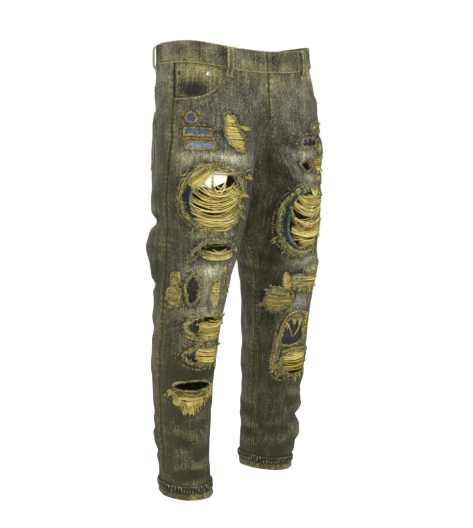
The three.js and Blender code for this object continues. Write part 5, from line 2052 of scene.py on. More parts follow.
RIGHT_BLOTS = blots_of(
    light=((92, -214, 130, 34, 0.46), (140, -226, 70, 44, 0.3), (92, -368, 90, 16, 0.42),
           (104, -440, 110, 30, 0.42), (112, -480, 90, 60, 0.56), (96, -528, 110, 22, 0.42),
           (30, -216, 40, 60, 0.16), (104, -378, 120, 30, 0.08), (70, -182, 80, 14, 0.16),
           # The faint light rows at h -724, -776 and -838 are painted highlights on the folds low on the leg.
           (120, -90, 130, 90, 0.05), (100, -724, 90, 40, 0.05), (86, -776, 80, 30, 0.05),
           (100, -838, 90, 30, 0.04)),
    ochre=((150, -150, 230, 190, -0.24), (104, -470, 130, 150, -0.26), (150, -46, 190, 34, 0.25),
           (10, -200, 36, 300, 0.3), (230, -150, 50, 160, 0.2)),
    # Dark rows far in from the outseam (x 210 to 232) are painted shade between the legs.
    dark=((84, -656, 104, 24, 0.3), (232, -330, 90, 260, 0.3), (210, -480, 60, 240, 0.16),
          (80, -654, 96, 22, 0.26), (16, -300, 50, 300, 0.1), (20, -620, 50, 260, 0.1),
          (150, -660, 70, 240, 0.1), (150, -100, 60, 100, 0.05), (60, -620, 60, 90, 0.1),
          # The thin dark rows at h -740, -812 and -870 are painted shade in the folds low on the leg.
          (60, -812, 90, 26, 0.12), (90, -870, 150, 24, 0.14), (60, -740, 80, 40, 0.16),
          (160, -760, 60, 110, 0.1)),
)
LEFT_BLOTS = blots_of(
    light=((118, -262, 110, 34, 0.52), (150, -214, 110, 40, 0.36), (118, -440, 110, 26, 0.46),
           (130, -530, 60, 30, 0.3), (150, -80, 120, 80, 0.1), (204, -130, 60, 90, 0.14),
           # The faint light rows at h -724, -748 and -822 are painted highlights on the folds low on the leg.
           (110, -748, 110, 26, 0.09), (96, -822, 90, 30, 0.08), (150, -724, 80, 26, 0.06)),
    ochre=((150, -150, 230, 190, -0.26), (130, -500, 130, 120, -0.16), (200, -50, 100, 30, 0.25),
           (236, -120, 20, 200, 0.35), (150, -46, 190, 30, 0.15)),
    # Dark rows at x 204 and more are painted shade between the legs.
    dark=((204, -330, 60, 200, 0.22), (150, -690, 70, 220, 0.16), (232, -360, 80, 320, 0.22),
          (204, -640, 60, 260, 0.14), (214, -220, 70, 80, 0.12), (176, -470, 70, 60, 0.12),
          # The thin dark rows at h -790 and -868 are painted shade in the folds low on the leg.
          (110, -790, 140, 22, 0.1), (110, -868, 150, 26, 0.12), (190, -560, 60, 60, 0.1),
          (180, -176, 30, 30, 0.12)),
)
BACK_BLOTS = blots_of(
    light=((130, -200, 180, 120, 0.1), (110, -460, 120, 90, 0.08), (110, -300, 150, 60, 0.05),
           (110, -760, 120, 60, 0.06)),
    ochre=((12, -400, 40, 700, 0.2), (150, -130, 200, 40, 0.15)),
    # Behind the knee (h -400 and -455) and on the inner thigh (x 220) the dark rows are painted shade.
    dark=((16, -300, 60, 360, 0.08), (40, -455, 90, 60, 0.3), (220, -330, 90, 240, 0.22),
          (100, -640, 150, 200, 0.08), (100, -400, 120, 40, 0.14), (100, -860, 200, 40, 0.12)),
)


class Fraying:
    """Grows fray, bare wefts and whip stitches on one leg's front."""

    def __init__(self, leg: Leg, seed: int) -> None:
        """Starts with no threads.

        Args:
            leg: The leg.
            seed: Seed of every draw.
        """
        self.leg = leg
        self.rng = np.random.default_rng(seed)
        self.fray = Threads()
        self.curls = Threads()
        self.yarn = Threads()
        self.sewing = Threads()

    def lay(self, threads: Threads, x: Array, h: Array, level: Array, radius: Array | float, tones: Array,
            sides: int = 4, taper: float = 0.5) -> None:
        """Lays threads along places on the front.

        Args:
            threads: Takes the threads.
            x: Distances in from the outseam, as (thread, point).
            h: Heights, as (thread, point).
            level: Distances out from the cloth.
            radius: Radii.
            tones: Colours.
            sides: Sides of each thread.
            taper: Radius at the tips, as a share.
        """
        points, normals = self.leg.place(Kind.FRONT, x, h, level)
        threads.add(points, radius, tones, sides, taper, normals[:, normals.shape[1] // 2])

    def along(self, outline: Outline, share: Array) -> tuple[Array, Array]:
        """Finds places along an outline.

        Args:
            outline: The outline.
            share: How far along they are, from 0 to 1.

        Returns:
            The places and the directions out of the outline.
        """
        closed = np.concatenate([outline, outline[:1]])
        step = np.linalg.norm(np.diff(closed, axis=0), axis=-1)
        run = np.concatenate([[0], np.cumsum(step)])
        at = share * run[-1]
        place = np.stack([np.interp(at, run, closed[:, 0]), np.interp(at, run, closed[:, 1])], axis=-1)
        ahead = np.stack([np.interp((at + 1) % run[-1], run, closed[:, k]) for k in (0, 1)], axis=-1)
        tangent = ahead - place
        tangent /= np.maximum(np.linalg.norm(tangent, axis=-1, keepdims=True), 1e-9)
        return place, np.stack([tangent[:, 1], -tangent[:, 0]], axis=-1)

    def perimeter(self, outline: Outline) -> float:
        """Returns the way round an outline."""
        return float(np.linalg.norm(np.diff(np.concatenate([outline, outline[:1]]), axis=0), axis=-1).sum())

    def rim(self, tear: Tear) -> None:
        """Grows short fibres and curls over the band round a tear.

        Args:
            tear: The tear.
        """
        rng = self.rng
        outline = tear.edge.outline()
        around = self.perimeter(outline)
        count = int(around * tear.density)
        knots = rng.uniform(0, 1, max(5, int(around / 8)))
        share = knots[rng.integers(0, len(knots), count)] + rng.normal(0, 2.2 / around, count)
        share = np.where(rng.uniform(0, 1, count) < 0.3, rng.uniform(0, 1, count), share) % 1.0
        place, out = self.along(outline, share)
        drift = (rng.uniform(0, 1, count) ** 1.8 - 0.22) * tear.band
        place = place + out * drift[:, None]
        swing = rng.normal(0, 0.95, count) + np.where(rng.uniform(0, 1, count) < 0.38, math.pi, 0.0)
        direction = np.stack([out[:, 0] * np.cos(swing) - out[:, 1] * np.sin(swing),
                              out[:, 0] * np.sin(swing) + out[:, 1] * np.cos(swing)], axis=-1)
        direction[:, 1] -= 0.35
        length = tear.length * rng.uniform(0.35, 1.15, count)
        t = np.linspace(0, 1, 3)[None, :]
        bend = rng.uniform(-0.9, 0.9, count)[:, None] * t * t
        along = (direction[:, None, :] * (t * length[:, None])[..., None])
        side = np.stack([-direction[:, 1], direction[:, 0]], axis=-1)[:, None, :]
        path = place[:, None, :] + along + side * (bend * length[:, None])[..., None]
        lift = 1.0 + rng.uniform(0.2, 2.8, count)[:, None] * t
        self.lay(self.fray, path[..., 0], path[..., 1], lift, rng.uniform(0.3, 0.55, count),
                 tear.palette.pick(rng, count), sides=3, taper=0.35)
        self.rolled_edge(outline, tear)
        self.loops(outline, tear)

    def rolled_edge(self, outline: Outline, tear: Tear) -> None:
        """Lays threads that run along the edge of a tear.

        Args:
            outline: The tear's outline.
            tear: The tear.
        """
        rng = self.rng
        around = self.perimeter(outline)
        count = int(around / 3.6)
        length = rng.uniform(7, 20, count)
        t = np.linspace(0, 1, 8)[None, :]
        share = rng.uniform(0, 1, (count, 1)) + length[:, None] * t / around
        place, out = self.along(outline, share.ravel() % 1.0)
        place, out = place.reshape(count, -1, 2), out.reshape(count, -1, 2)
        offset = rng.normal(0.6, 1.1, (count, 1))
        turns = t * rng.uniform(3, 9, (count, 1))
        wave = offset + 0.8 * np.sin(turns + rng.uniform(0, 6, (count, 1)))
        place = place + out * wave[..., None]
        level = 1.0 + rng.uniform(0, 1.4, (count, 1)) + 0 * t
        self.lay(self.curls, place[..., 0], place[..., 1], level, rng.uniform(0.4, 0.65, count),
                 tear.palette.pick(rng, count), sides=4, taper=0.6)

    def loops(self, outline: Outline, tear: Tear) -> None:
        """Lays small curls of thread beside the edge of a tear.

        Args:
            outline: The tear's outline.
            tear: The tear.
        """
        rng = self.rng
        count = max(2, int(self.perimeter(outline) * tear.density / 34))
        place, out = self.along(outline, rng.uniform(0, 1, count))
        place = place + out * (rng.uniform(-0.3, 0.8, count) * tear.band)[:, None]
        turn = rng.uniform(0, 6.28, (count, 1)) + np.linspace(0, 5.2, 9)[None, :]
        size = rng.uniform(1.1, 2.9, (count, 1)) * np.linspace(1, 0.7, 9)[None, :]
        stretch = rng.uniform(0.6, 1.6, (count, 1))
        x = place[:, :1] + size * np.cos(turn) * stretch
        h = place[:, 1:] + size * np.sin(turn)
        level = 1.4 + rng.uniform(0, 1.6, (count, 1)) + 0 * turn
        self.lay(self.curls, x, h, level, rng.uniform(0.4, 0.6, count), tear.palette.pick(rng, count), 4, 0.6)

    def strand(self, strand: Strand) -> None:
        """Lays one bundle of loose threads.

        Args:
            strand: The bundle.
        """
        rng = self.rng
        way = np.array(strand.way, float)
        run = np.concatenate([[0], np.cumsum(np.linalg.norm(np.diff(way, axis=0), axis=-1))])
        steps = max(6, int(run[-1] / 5))
        t = np.linspace(0, 1, steps)
        line = np.stack([np.interp(t * run[-1], run, way[:, k]) for k in (0, 1)], axis=-1)
        for _ in range(2):
            line[1:-1] = (line[:-2] + 2 * line[1:-1] + line[2:]) / 4
        ahead = np.gradient(line, axis=0)
        side = np.stack([-ahead[:, 1], ahead[:, 0]], axis=-1)
        side /= np.maximum(np.linalg.norm(side, axis=-1, keepdims=True), 1e-9)
        column = (strand.count, 1)
        off = rng.uniform(-strand.spread, strand.spread, column)
        turns = t * rng.uniform(4, 16, column)
        off = off + 0.35 * strand.spread * np.sin(turns + rng.uniform(0, 6, column))
        path = line[None] + side[None] * off[..., None]
        level = strand.level + rng.uniform(-0.3, 0.5, column) + 0 * t[None]
        radius = strand.radius * rng.uniform(0.8, 1.2, strand.count)
        self.lay(self.curls, path[..., 0], path[..., 1], level, radius,
                 strand.palette.pick(rng, strand.count))
        count = int(run[-1] * strand.fuzz)
        if not count:
            return
        at = rng.integers(0, steps, count)
        reach = (rng.uniform(1.2, 3.4, count) + strand.spread)[:, None] * np.array([-0.6, 0.0, 0.6])[None, :]
        lean = rng.normal(0, 0.7, count)[:, None]
        along = (ahead / np.maximum(np.linalg.norm(ahead, axis=-1, keepdims=True), 1e-9))[at]
        start = line[at] + rng.normal(0, 1.4, (count, 1)) * along
        slant = side[at][:, None, :] + lean[..., None] * along[:, None, :]
        cross = start[:, None, :] + reach[..., None] * slant
        level = strand.level + np.array([0.2, 1.1, 0.3])[None, :] + rng.uniform(-0.2, 0.5, (count, 1))
        palette = WHIP if strand.palette is WHIP else FRAY
        self.lay(self.curls, cross[..., 0], cross[..., 1], level, rng.uniform(0.3, 0.5, count),
                 palette.pick(rng, count))

    def tuft(self, tuft: Tuft) -> None:
        """Grows one pointed bunch.

        Args:
            tuft: The bunch.
        """
        rng = self.rng
        count = tuft.fibres
        t = np.linspace(0, 1, 5)[None, :]
        way = math.radians(tuft.angle)
        start = rng.normal(0, tuft.width, (count, 2))
        reach = tuft.length * rng.uniform(0.55, 1.05, count)[:, None]
        wander = rng.normal(0, 1.6, (count, 1))
        close = 1 - tuft.closing * t
        x = tuft.x + start[:, :1] * close + math.cos(way) * reach * t - math.sin(way) * wander * t * t
        h = tuft.h + start[:, 1:] * close + math.sin(way) * reach * t + math.cos(way) * wander * t * t
        h = h - 0.08 * reach * t * t
        level = 1.0 + rng.uniform(0.5, 1.6, (count, 1)) + t * rng.uniform(0.0, 4.0, (count, 1))
        self.lay(self.curls, x, h, level, rng.uniform(0.4, 0.7, count), tuft.palette.pick(rng, count), 3, 0.3)

    def curtain(self, weft: Weft) -> None:
        """Hangs a curtain of bare wefts across its region.

        Args:
            weft: The curtain.
        """
        rng = self.rng
        outline = weft.region.outline()
        low, high = outline[:, 1].min(), outline[:, 1].max()
        rows = []
        h = high - 0.6
        while h > low + 0.6:
            span = row_span(outline, h)
            if span and rng.uniform() >= weft.gaps:
                rows.append((h, *span))
            h -= weft.pitch * rng.uniform(0.75, 1.25)
        if not rows:
            return
        rows_at = np.repeat(np.array(rows), weft.strands, axis=0)
        count = len(rows_at)
        t = np.linspace(0, 1, 11)[None, :]
        over = rng.uniform(1.5, 4.5, (count, 2))
        x0, x1 = rows_at[:, 1:2] - over[:, :1], rows_at[:, 2:3] + over[:, 1:]
        x = x0 + (x1 - x0) * t
        share = smooth(low, low + 0.55 * (high - low), rows_at[:, :1])
        sag = weft.sag * (0.25 + 0.75 * share) * rng.uniform(0.6, 1.25, (count, 1))
        lean = rng.uniform(-0.12, 0.12, (count, 1))
        bow = 4 * t * (1 - t) * (1 + lean * (2 * t - 1) * 4)
        spread = rng.normal(0, 0.55 * weft.pitch / max(1, weft.strands), (count, 1)) * (weft.strands > 1)
        if weft.spread:
            spread = rng.uniform(-weft.spread, weft.spread, (count, 1))
            spread = spread * (1 - 0.35 * rng.uniform(0, 1, (count, 1)) * bow)
        ends = rng.normal(0, 0.5, (count, 2))
        h = rows_at[:, :1] + spread + ends[:, :1] * (1 - t) + ends[:, 1:] * t
        h = h + weft.tilt * (t - 0.5) * 2 - sag * bow
        h = h + 0.35 * np.sin(t * rng.uniform(6, 14, (count, 1)) + rng.uniform(0, 6, (count, 1)))
        level = weft.level + weft.bulge * bow * rng.uniform(0.5, 1.2, (count, 1))
        level = level + rng.normal(0, 0.35, (count, 1))
        radius = weft.radius * rng.uniform(0.75, 1.2, count)
        self.lay(self.yarn, x, h, level, radius, weft.palette.pick(rng, count), 5, 0.6)

    def whip(self, outline: Outline, pitch: float = 3.7, length: float = 4.6) -> None:
        """Sews whip stitches across an outline.

        Args:
            outline: The outline.
            pitch: How far apart they are.
            length: How long they are.
        """
        rng = self.rng
        count = max(6, int(self.perimeter(outline) / pitch))
        place, out = self.along(outline, (np.arange(count) + 0.5) / count)
        slant = rng.normal(0.5, 0.25, count)
        way = np.stack([out[:, 0] * np.cos(slant) - out[:, 1] * np.sin(slant),
                        out[:, 0] * np.sin(slant) + out[:, 1] * np.cos(slant)], axis=-1)
        t = np.array([-0.5, 0.0, 0.5])[None, :]
        reach = (length * rng.uniform(0.7, 1.2, count))[:, None] * t
        path = place[:, None, :] + way[:, None, :] * reach[..., None]
        level = 0.5 + 0.8 * (1 - (2 * t) ** 2) + np.zeros((count, 1))
        self.lay(self.sewing, path[..., 0], path[..., 1], level, 0.62, WHIP.pick(rng, count), 4, 0.6)

    def build(self, wardrobe: Wardrobe, tears: Sequence[Tear]) -> None:
        """Makes the thread pieces of a front.

        Args:
            wardrobe: Dresses the pieces.
            tears: The damaged places.
        """
        for tear in tears:
            self.rim(tear)
            for weft in tear.wefts:
                self.curtain(weft)
            for tuft in tear.tufts:
                self.tuft(tuft)
            for strand in tear.strands:
                self.strand(strand)
            if tear.whip:
                self.whip(tear.whip.outline())
        name = self.leg.name
        wardrobe.dress(self.fray.build(f"fray_{name}"), YARN)
        wardrobe.dress(self.curls.build(f"curls_{name}"), YARN)
        wardrobe.dress(self.yarn.build(f"bare_wefts_{name}"), YARN)
        wardrobe.dress(self.sewing.build(f"whip_stitches_{name}"), SEWING)


FACING_BLOTS = blots_of(light=((70, -40, 150, 26, 0.25), (100, -72, 60, 60, 0.1)),
                        ochre=((70, -40, 150, 26, 0.8), (100, -72, 60, 60, 0.4)),
                        dark=((30, -90, 60, 40, 0.15),))
COIN_BLOTS = blots_of(light=((48, -50, 110, 22, 0.16),), dark=((50, -84, 84, 36, 0.42),),
                      ochre=((48, -50, 110, 22, 0.7), (50, -66, 84, 10, 0.3)))
BAG_BLOTS = blots_of(light=((90, -262, 60, 16, 0.1),), dark=((60, -250, 40, 24, 0.1),))
BACK_POCKET_BLOTS = blots_of(light=((130, -180, 130, 100, 0.1), (130, -132, 150, 16, 0.08)),
                             ochre=((130, -132, 150, 16, 0.35), (130, -244, 120, 30, 0.2)),
                             dark=((130, -244, 120, 30, 0.08),))
THIGH_HOLES = {"right": Oval(108, -296, 98, 112), "left": Oval(138, -350, 106, 118)}
BAG_OUTLINE = np.array([(34, -116), (34, -252), (50, -268), (96, -275), (126, -262), (138, -200),
                        (132, -116)], float)
COIN_OUTLINE = np.array([(6, -43.5), (6, -94), (44, -98), (88, -94), (88, -43.5)], float)
BACK_POCKET_OUTLINE = np.array([(62, -124), (58, -232), (130, -264), (202, -232), (198, -124)], float)
FACING_OUTLINE = np.array([(-6, -20), (-6, -114), (80, -114), (116, -104), (138, -84), (138, -20)], float)


def dense(outline: Outline, step: float = 4.0) -> Outline:
    """Puts a place every few millimetres along an outline.

    Args:
        outline: The outline.
        step: How far apart they are.

    Returns:
        The denser outline.
    """
    closed = np.concatenate([outline, outline[:1]])
    parts = []
    for a, b in zip(closed[:-1], closed[1:]):
        count = max(1, int(np.linalg.norm(b - a) / step))
        parts.append(a + (b - a) * (np.arange(count) / count)[:, None])
    return np.concatenate(parts)


@dataclass
class Mending:
    """The patches behind the rips, and the pockets' cloth."""

    right: Leg
    left: Leg
    patch_thickness: float = 1.2
    backings: tuple[tuple[str, Oval, ClothFinish, str, float], ...] = (
        ("badge_right", Oval(43, -137, 46, 36), BLUE, "patch_blue", 0.0),
        ("stripe_upper_right", Oval(61, -165, 84, 19), BLUE, "patch_blue", 0.12),
        ("stripe_lower_right", Oval(67, -191, 84, 26), BLUE, "patch_blue", 0.4),
        ("thigh_right", Oval(101, -294, 162, 156), NAVY, "patch_navy", 0.0),
        ("oval_right", Oval(62, -479, 46, 78), DARK_DENIM, "denim_dark", 0.0),
        ("shin_right", Oval(54, -586, 50, 112), NAVY, "patch_navy", 0.0),
        ("hip_left", Oval(138, -184, 84, 40), NAVY, "patch_navy", 0.0),
        ("pocket_left", Oval(112, -232, 66, 34), DARK_DENIM, "denim_dark", 0.0),
        ("thigh_left", Oval(148, -348, 168, 168), NAVY, "patch_navy", 0.1),
        ("knee_left", Oval(128, -596, 64, 64), DARK_DENIM, "denim_dark", 0.12),
    )

    def patch(self, wardrobe: Wardrobe, leg: Leg, node: str, oval: Oval, finish: ClothFinish, slot: str,
              hole: Oval | None, light: float) -> None:
        """Makes one patch behind a front.

        Args:
            wardrobe: Dresses the piece.
            leg: The leg.
            node: The node it stands for.
            oval: Its outline.
            finish: Its finish.
            slot: The record's slot.
            hole: Its own hole.
            light: How worn it is.
        """
        opening = None if hole is None else hole.outline()
        Inlay(leg, Kind.FRONT, node, oval.outline(), -LAYER, finish, slot, self.patch_thickness, opening,
              light=light, edge_light=0.1).build(wardrobe)

    def build(self, wardrobe: Wardrobe) -> None:
        """Makes the patches and the pocket cloth.

        Args:
            wardrobe: Dresses the pieces.
        """
        r, l = self.right, self.left
        for node, oval, finish, slot, light in self.backings:
            leg = r if node.endswith("right") else l
            hole = THIGH_HOLES[leg.name] if "thigh" in node else None
            self.patch(wardrobe, leg, f"patch_{node}", oval, finish, slot, hole, light)
        for leg, level in ((r, -2 * LAYER), (l, -LAYER)):
            Inlay(leg, Kind.FRONT, f"pocket_facing_{leg.name}", dense(FACING_OUTLINE), level, DENIM, "denim",
                  blots=FACING_BLOTS).build(wardrobe)
        Inlay(r, Kind.FRONT, "coin_pocket", dense(COIN_OUTLINE), 0.9 - LAYER, DENIM, "denim", light=0.02,
              pitch=2.2, edge_light=0.35, blots=COIN_BLOTS).build(wardrobe)
        Inlay(r, Kind.FRONT, "pocket_bag_right", dense(BAG_OUTLINE), -2 * LAYER, COTTON, "pocket_cotton",
              thickness=1.0, blots=BAG_BLOTS).build(wardrobe)
        for leg in (r, l):
            Inlay(leg, Kind.BACK, f"back_pocket_{leg.name}", dense(BACK_POCKET_OUTLINE), LAYER, DENIM,
                  "denim", puff=1.4, light=0.04, edge_light=0.3, pitch=3.0,
                  blots=BACK_POCKET_BLOTS).build(wardrobe)


# ------------------------------------------------------------------ topstitching

class Topstitching:
    """Sews rows of stitches on the garment."""

    def __init__(self, seed: int, stitch: float = 3.3, gap: float = 1.3, radius: float = 0.5) -> None:
        """Sets the stitch's sizes.

        Args:
            seed: Seed of every draw.
            stitch: Length of a stitch.
            gap: Length of the space after it.
            radius: Radius of its thread.
        """
        self.rng = np.random.default_rng(seed)
        self.stitch = stitch
        self.gap = gap
        self.radius = radius
        self.threads = Threads()

    def row(self, points: Array, normals: Array, palette: Palette = STITCH,
            missing: float = 0.03) -> None:
        """Sews one row along points on the cloth.

        Args:
            points: The row's points.
            normals: The cloth's normals there.
            palette: Thread colours.
            missing: Share of stitches that are worn away.
        """
        run = np.concatenate([[0], np.cumsum(np.linalg.norm(np.diff(points, axis=0), axis=-1))])
        start = np.arange(0, run[-1] - self.stitch, self.stitch + self.gap)
        start = start[self.rng.uniform(0, 1, len(start)) >= missing]
        if not len(start):
            return
        at = start[:, None] + self.stitch * np.array([0, 0.5, 1])[None, :]
        path = np.stack([np.interp(at, run, points[:, k]) for k in range(3)], axis=-1)
        normal = np.stack([np.interp(at, run, normals[:, k]) for k in range(3)], axis=-1)
        path = path + normal * np.array([-0.1, 0.4, -0.1])[None, :, None]
        self.threads.add(path, self.radius, palette.pick(self.rng, len(start)), 4, 0.7, normal[:, 1])

    def on_panel(self, leg: Leg, kind: Kind, x: Array | float, h: Array | float, level: Array | float = 0.2,
                 palette: Palette = STITCH, missing: float = 0.03) -> None:
        """Sews a row on a panel.

        Args:
            leg: The leg.
            kind: The panel.
            x: Distances in from the outseam.
            h: Heights.
            level: Distances out from the cloth.
            palette: Thread colours.
            missing: Share of stitches that are worn away.
        """
        points, normals = leg.place(kind, x, h, level)
        self.row(points, normals, palette, missing)

    def build(self, wardrobe: Wardrobe, name: str) -> None:
        """Makes the piece."""
        wardrobe.dress(self.threads.build(name), SEWING)


def sew_leg(sewing: Topstitching, leg: Leg) -> None:
    """Sews a leg's own rows: pocket mouth, outseam, inseam, yoke and back pocket.

    Args:
        sewing: Takes the stitches.
        leg: The leg.
    """
    front, back = Kind.FRONT, Kind.BACK
    cuff = leg.hem + CUFF_TOP + 3
    for grow in (3.0, 8.5):
        curve = mouth_outline(grow)[2:-1]
        keep = (curve[:, 0] > 1) & (curve[:, 1] < WAIST_SEAM - 2)
        curve = curve[keep]
        closing = int(np.linalg.norm(curve[-1] - curve[0]) / ROW_STEP)
        curve = dense(curve, ROW_STEP)[:-closing]
        sewing.on_panel(leg, front, curve[:, 0], curve[:, 1], 0.35, SEAM)
    h = np.arange(-40, cuff, -ROW_STEP)
    sewing.on_panel(leg, back, 4.5, h, 0.85, SEAM, 0.12)
    sewing.on_panel(leg, back, 10.0, h, 0.7, STITCH, 0.2)
    sewing.on_panel(leg, front, 4.0, np.arange(-104, -190, -ROW_STEP), 0.3, SEAM, 0.1)
    h = np.arange(CROTCH - 16, cuff, -ROW_STEP)
    for inset in (3.5, 9.5):
        sewing.on_panel(leg, front, leg.run(front, h) - inset, h, 0.7, SEAM, 0.16)
    share = np.linspace(0.01, 0.99, 90)
    for rise in (3.0, 9.0):
        h = yoke_line(share) + rise
        sewing.on_panel(leg, back, (1 - share) * leg.run(back, h), h)
    for inset in (3.0, 8.0):
        middle = BACK_POCKET_OUTLINE.mean(axis=0)
        offset = BACK_POCKET_OUTLINE - middle
        inner = middle + offset * (1 - inset / np.abs(offset).max(axis=0)[None, :] * 0.95)
        ring = dense(inner, ROW_STEP)
        ring = np.concatenate([ring, ring[:1]])
        sewing.on_panel(leg, back, ring[:, 0], ring[:, 1], LAYER + 0.5)
    sewing.on_panel(leg, back, np.linspace(66, 194, 50), -138.0, LAYER + 0.9)


@dataclass(frozen=True)
class Seam:
    """One seam's bulk just under the cloth's face, at a panel's inner or outer edge."""

    leg: Leg
    kind: Kind
    inner: bool
    low: float
    high: float
    radius: float = 1.2
    middle: bool = False


def close_seams(wardrobe: Wardrobe, right: Leg, left: Leg) -> None:
    """Runs the bulk of a felled seam up the inside of each long seam, so that no light comes between panels.

    Args:
        wardrobe: Dresses the piece.
        right: The right leg.
        left: The left leg.
    """
    rng = np.random.default_rng(5)
    cords = Threads()
    seams = []
    for leg in (right, left):
        hem = leg.hem + CUFF_TOP
        seams.append(Seam(leg, Kind.FRONT, False, hem, WAIST_SEAM))
        seams.append(Seam(leg, Kind.FRONT, True, hem, CROTCH))
    seams += [Seam(right, kind, True, CROTCH, WAIST_SEAM, radius=2.4, middle=True) for kind in Kind]
    for seam in seams:
        h = np.linspace(seam.low, seam.high, int((seam.high - seam.low) / 6))
        x = seam.leg.run(seam.kind, h) if seam.inner else 0 * h
        points, normals = seam.leg.place(seam.kind, x[None], h[None], -0.1 - seam.radius)
        if seam.middle:
            points[..., 0] = 0
        cords.add(points, seam.radius, BULK.pick(rng, 1), 6, 1.0, normals[:, len(h) // 2])
    wardrobe.dress(cords.build("seam_cords"), SEWING)


def sew_middle(sewing: Topstitching, right: Leg, left: Leg, waist: Waist) -> None:
    """Sews the fly, the middle seams, the waistband and the coin pocket.

    Args:
        sewing: Takes the stitches.
        right: The wearer's right leg.
        left: The wearer's left leg.
        waist: The waistband.
    """
    front, back = Kind.FRONT, Kind.BACK
    h = np.arange(WAIST_SEAM - 3, -298, -ROW_STEP)
    for inset in (2.5, 8.5):
        points, normals = left.place(front, left.run(front, h) - inset, h, 0.3 + fly_raise(inset, h))
        points[:, 0] -= fly_reach(inset, h)
        sewing.row(points, normals, SEAM)
    turn = np.linspace(0, 1, 60)
    for inset in (0.0, 5.5):
        h = WAIST_SEAM - 3 - (116 - inset) * np.sin(turn * math.pi / 2) ** 0.9
        inner = (41 - inset) * np.cos(turn * math.pi / 2) ** 0.45 + 3
        sewing.on_panel(left, front, left.run(front, h) - inner, h, 0.3 + fly_raise(inner, h), SEAM)
    for leg in (right, left):
        start, inset = (-104, 4.0) if leg is left else (-106, 5.0)
        h = np.arange(start, -300, -ROW_STEP)
        sewing.on_panel(leg, back, leg.run(back, h) - inset, h, 0.3)
    along = np.arange(-waist.underlap + 3, waist.length + waist.overlap - 2, ROW_STEP)
    for h in (WAIST_TOP - 3.4, WAIST_SEAM + 3.4):
        points, normals = waist.at(along, np.full(along.shape, h), waist.out + 0.05 + waist.lift(along))
        shown = (along > -1) | (along < -500)
        sewing.row(points[shown], normals[shown], SEAM)
    for drop in (45.5, 51.0):
        sewing.on_panel(right, front, np.linspace(9, 85, 30), -drop, 1.1 - LAYER, SEAM)
    for x in (9.0, 14.0, 80.0, 85.0):
        sewing.on_panel(right, front, x, np.linspace(-46, -93, 20), 1.1 - LAYER, WHIP)


# ------------------------------------------------------------------ hardware

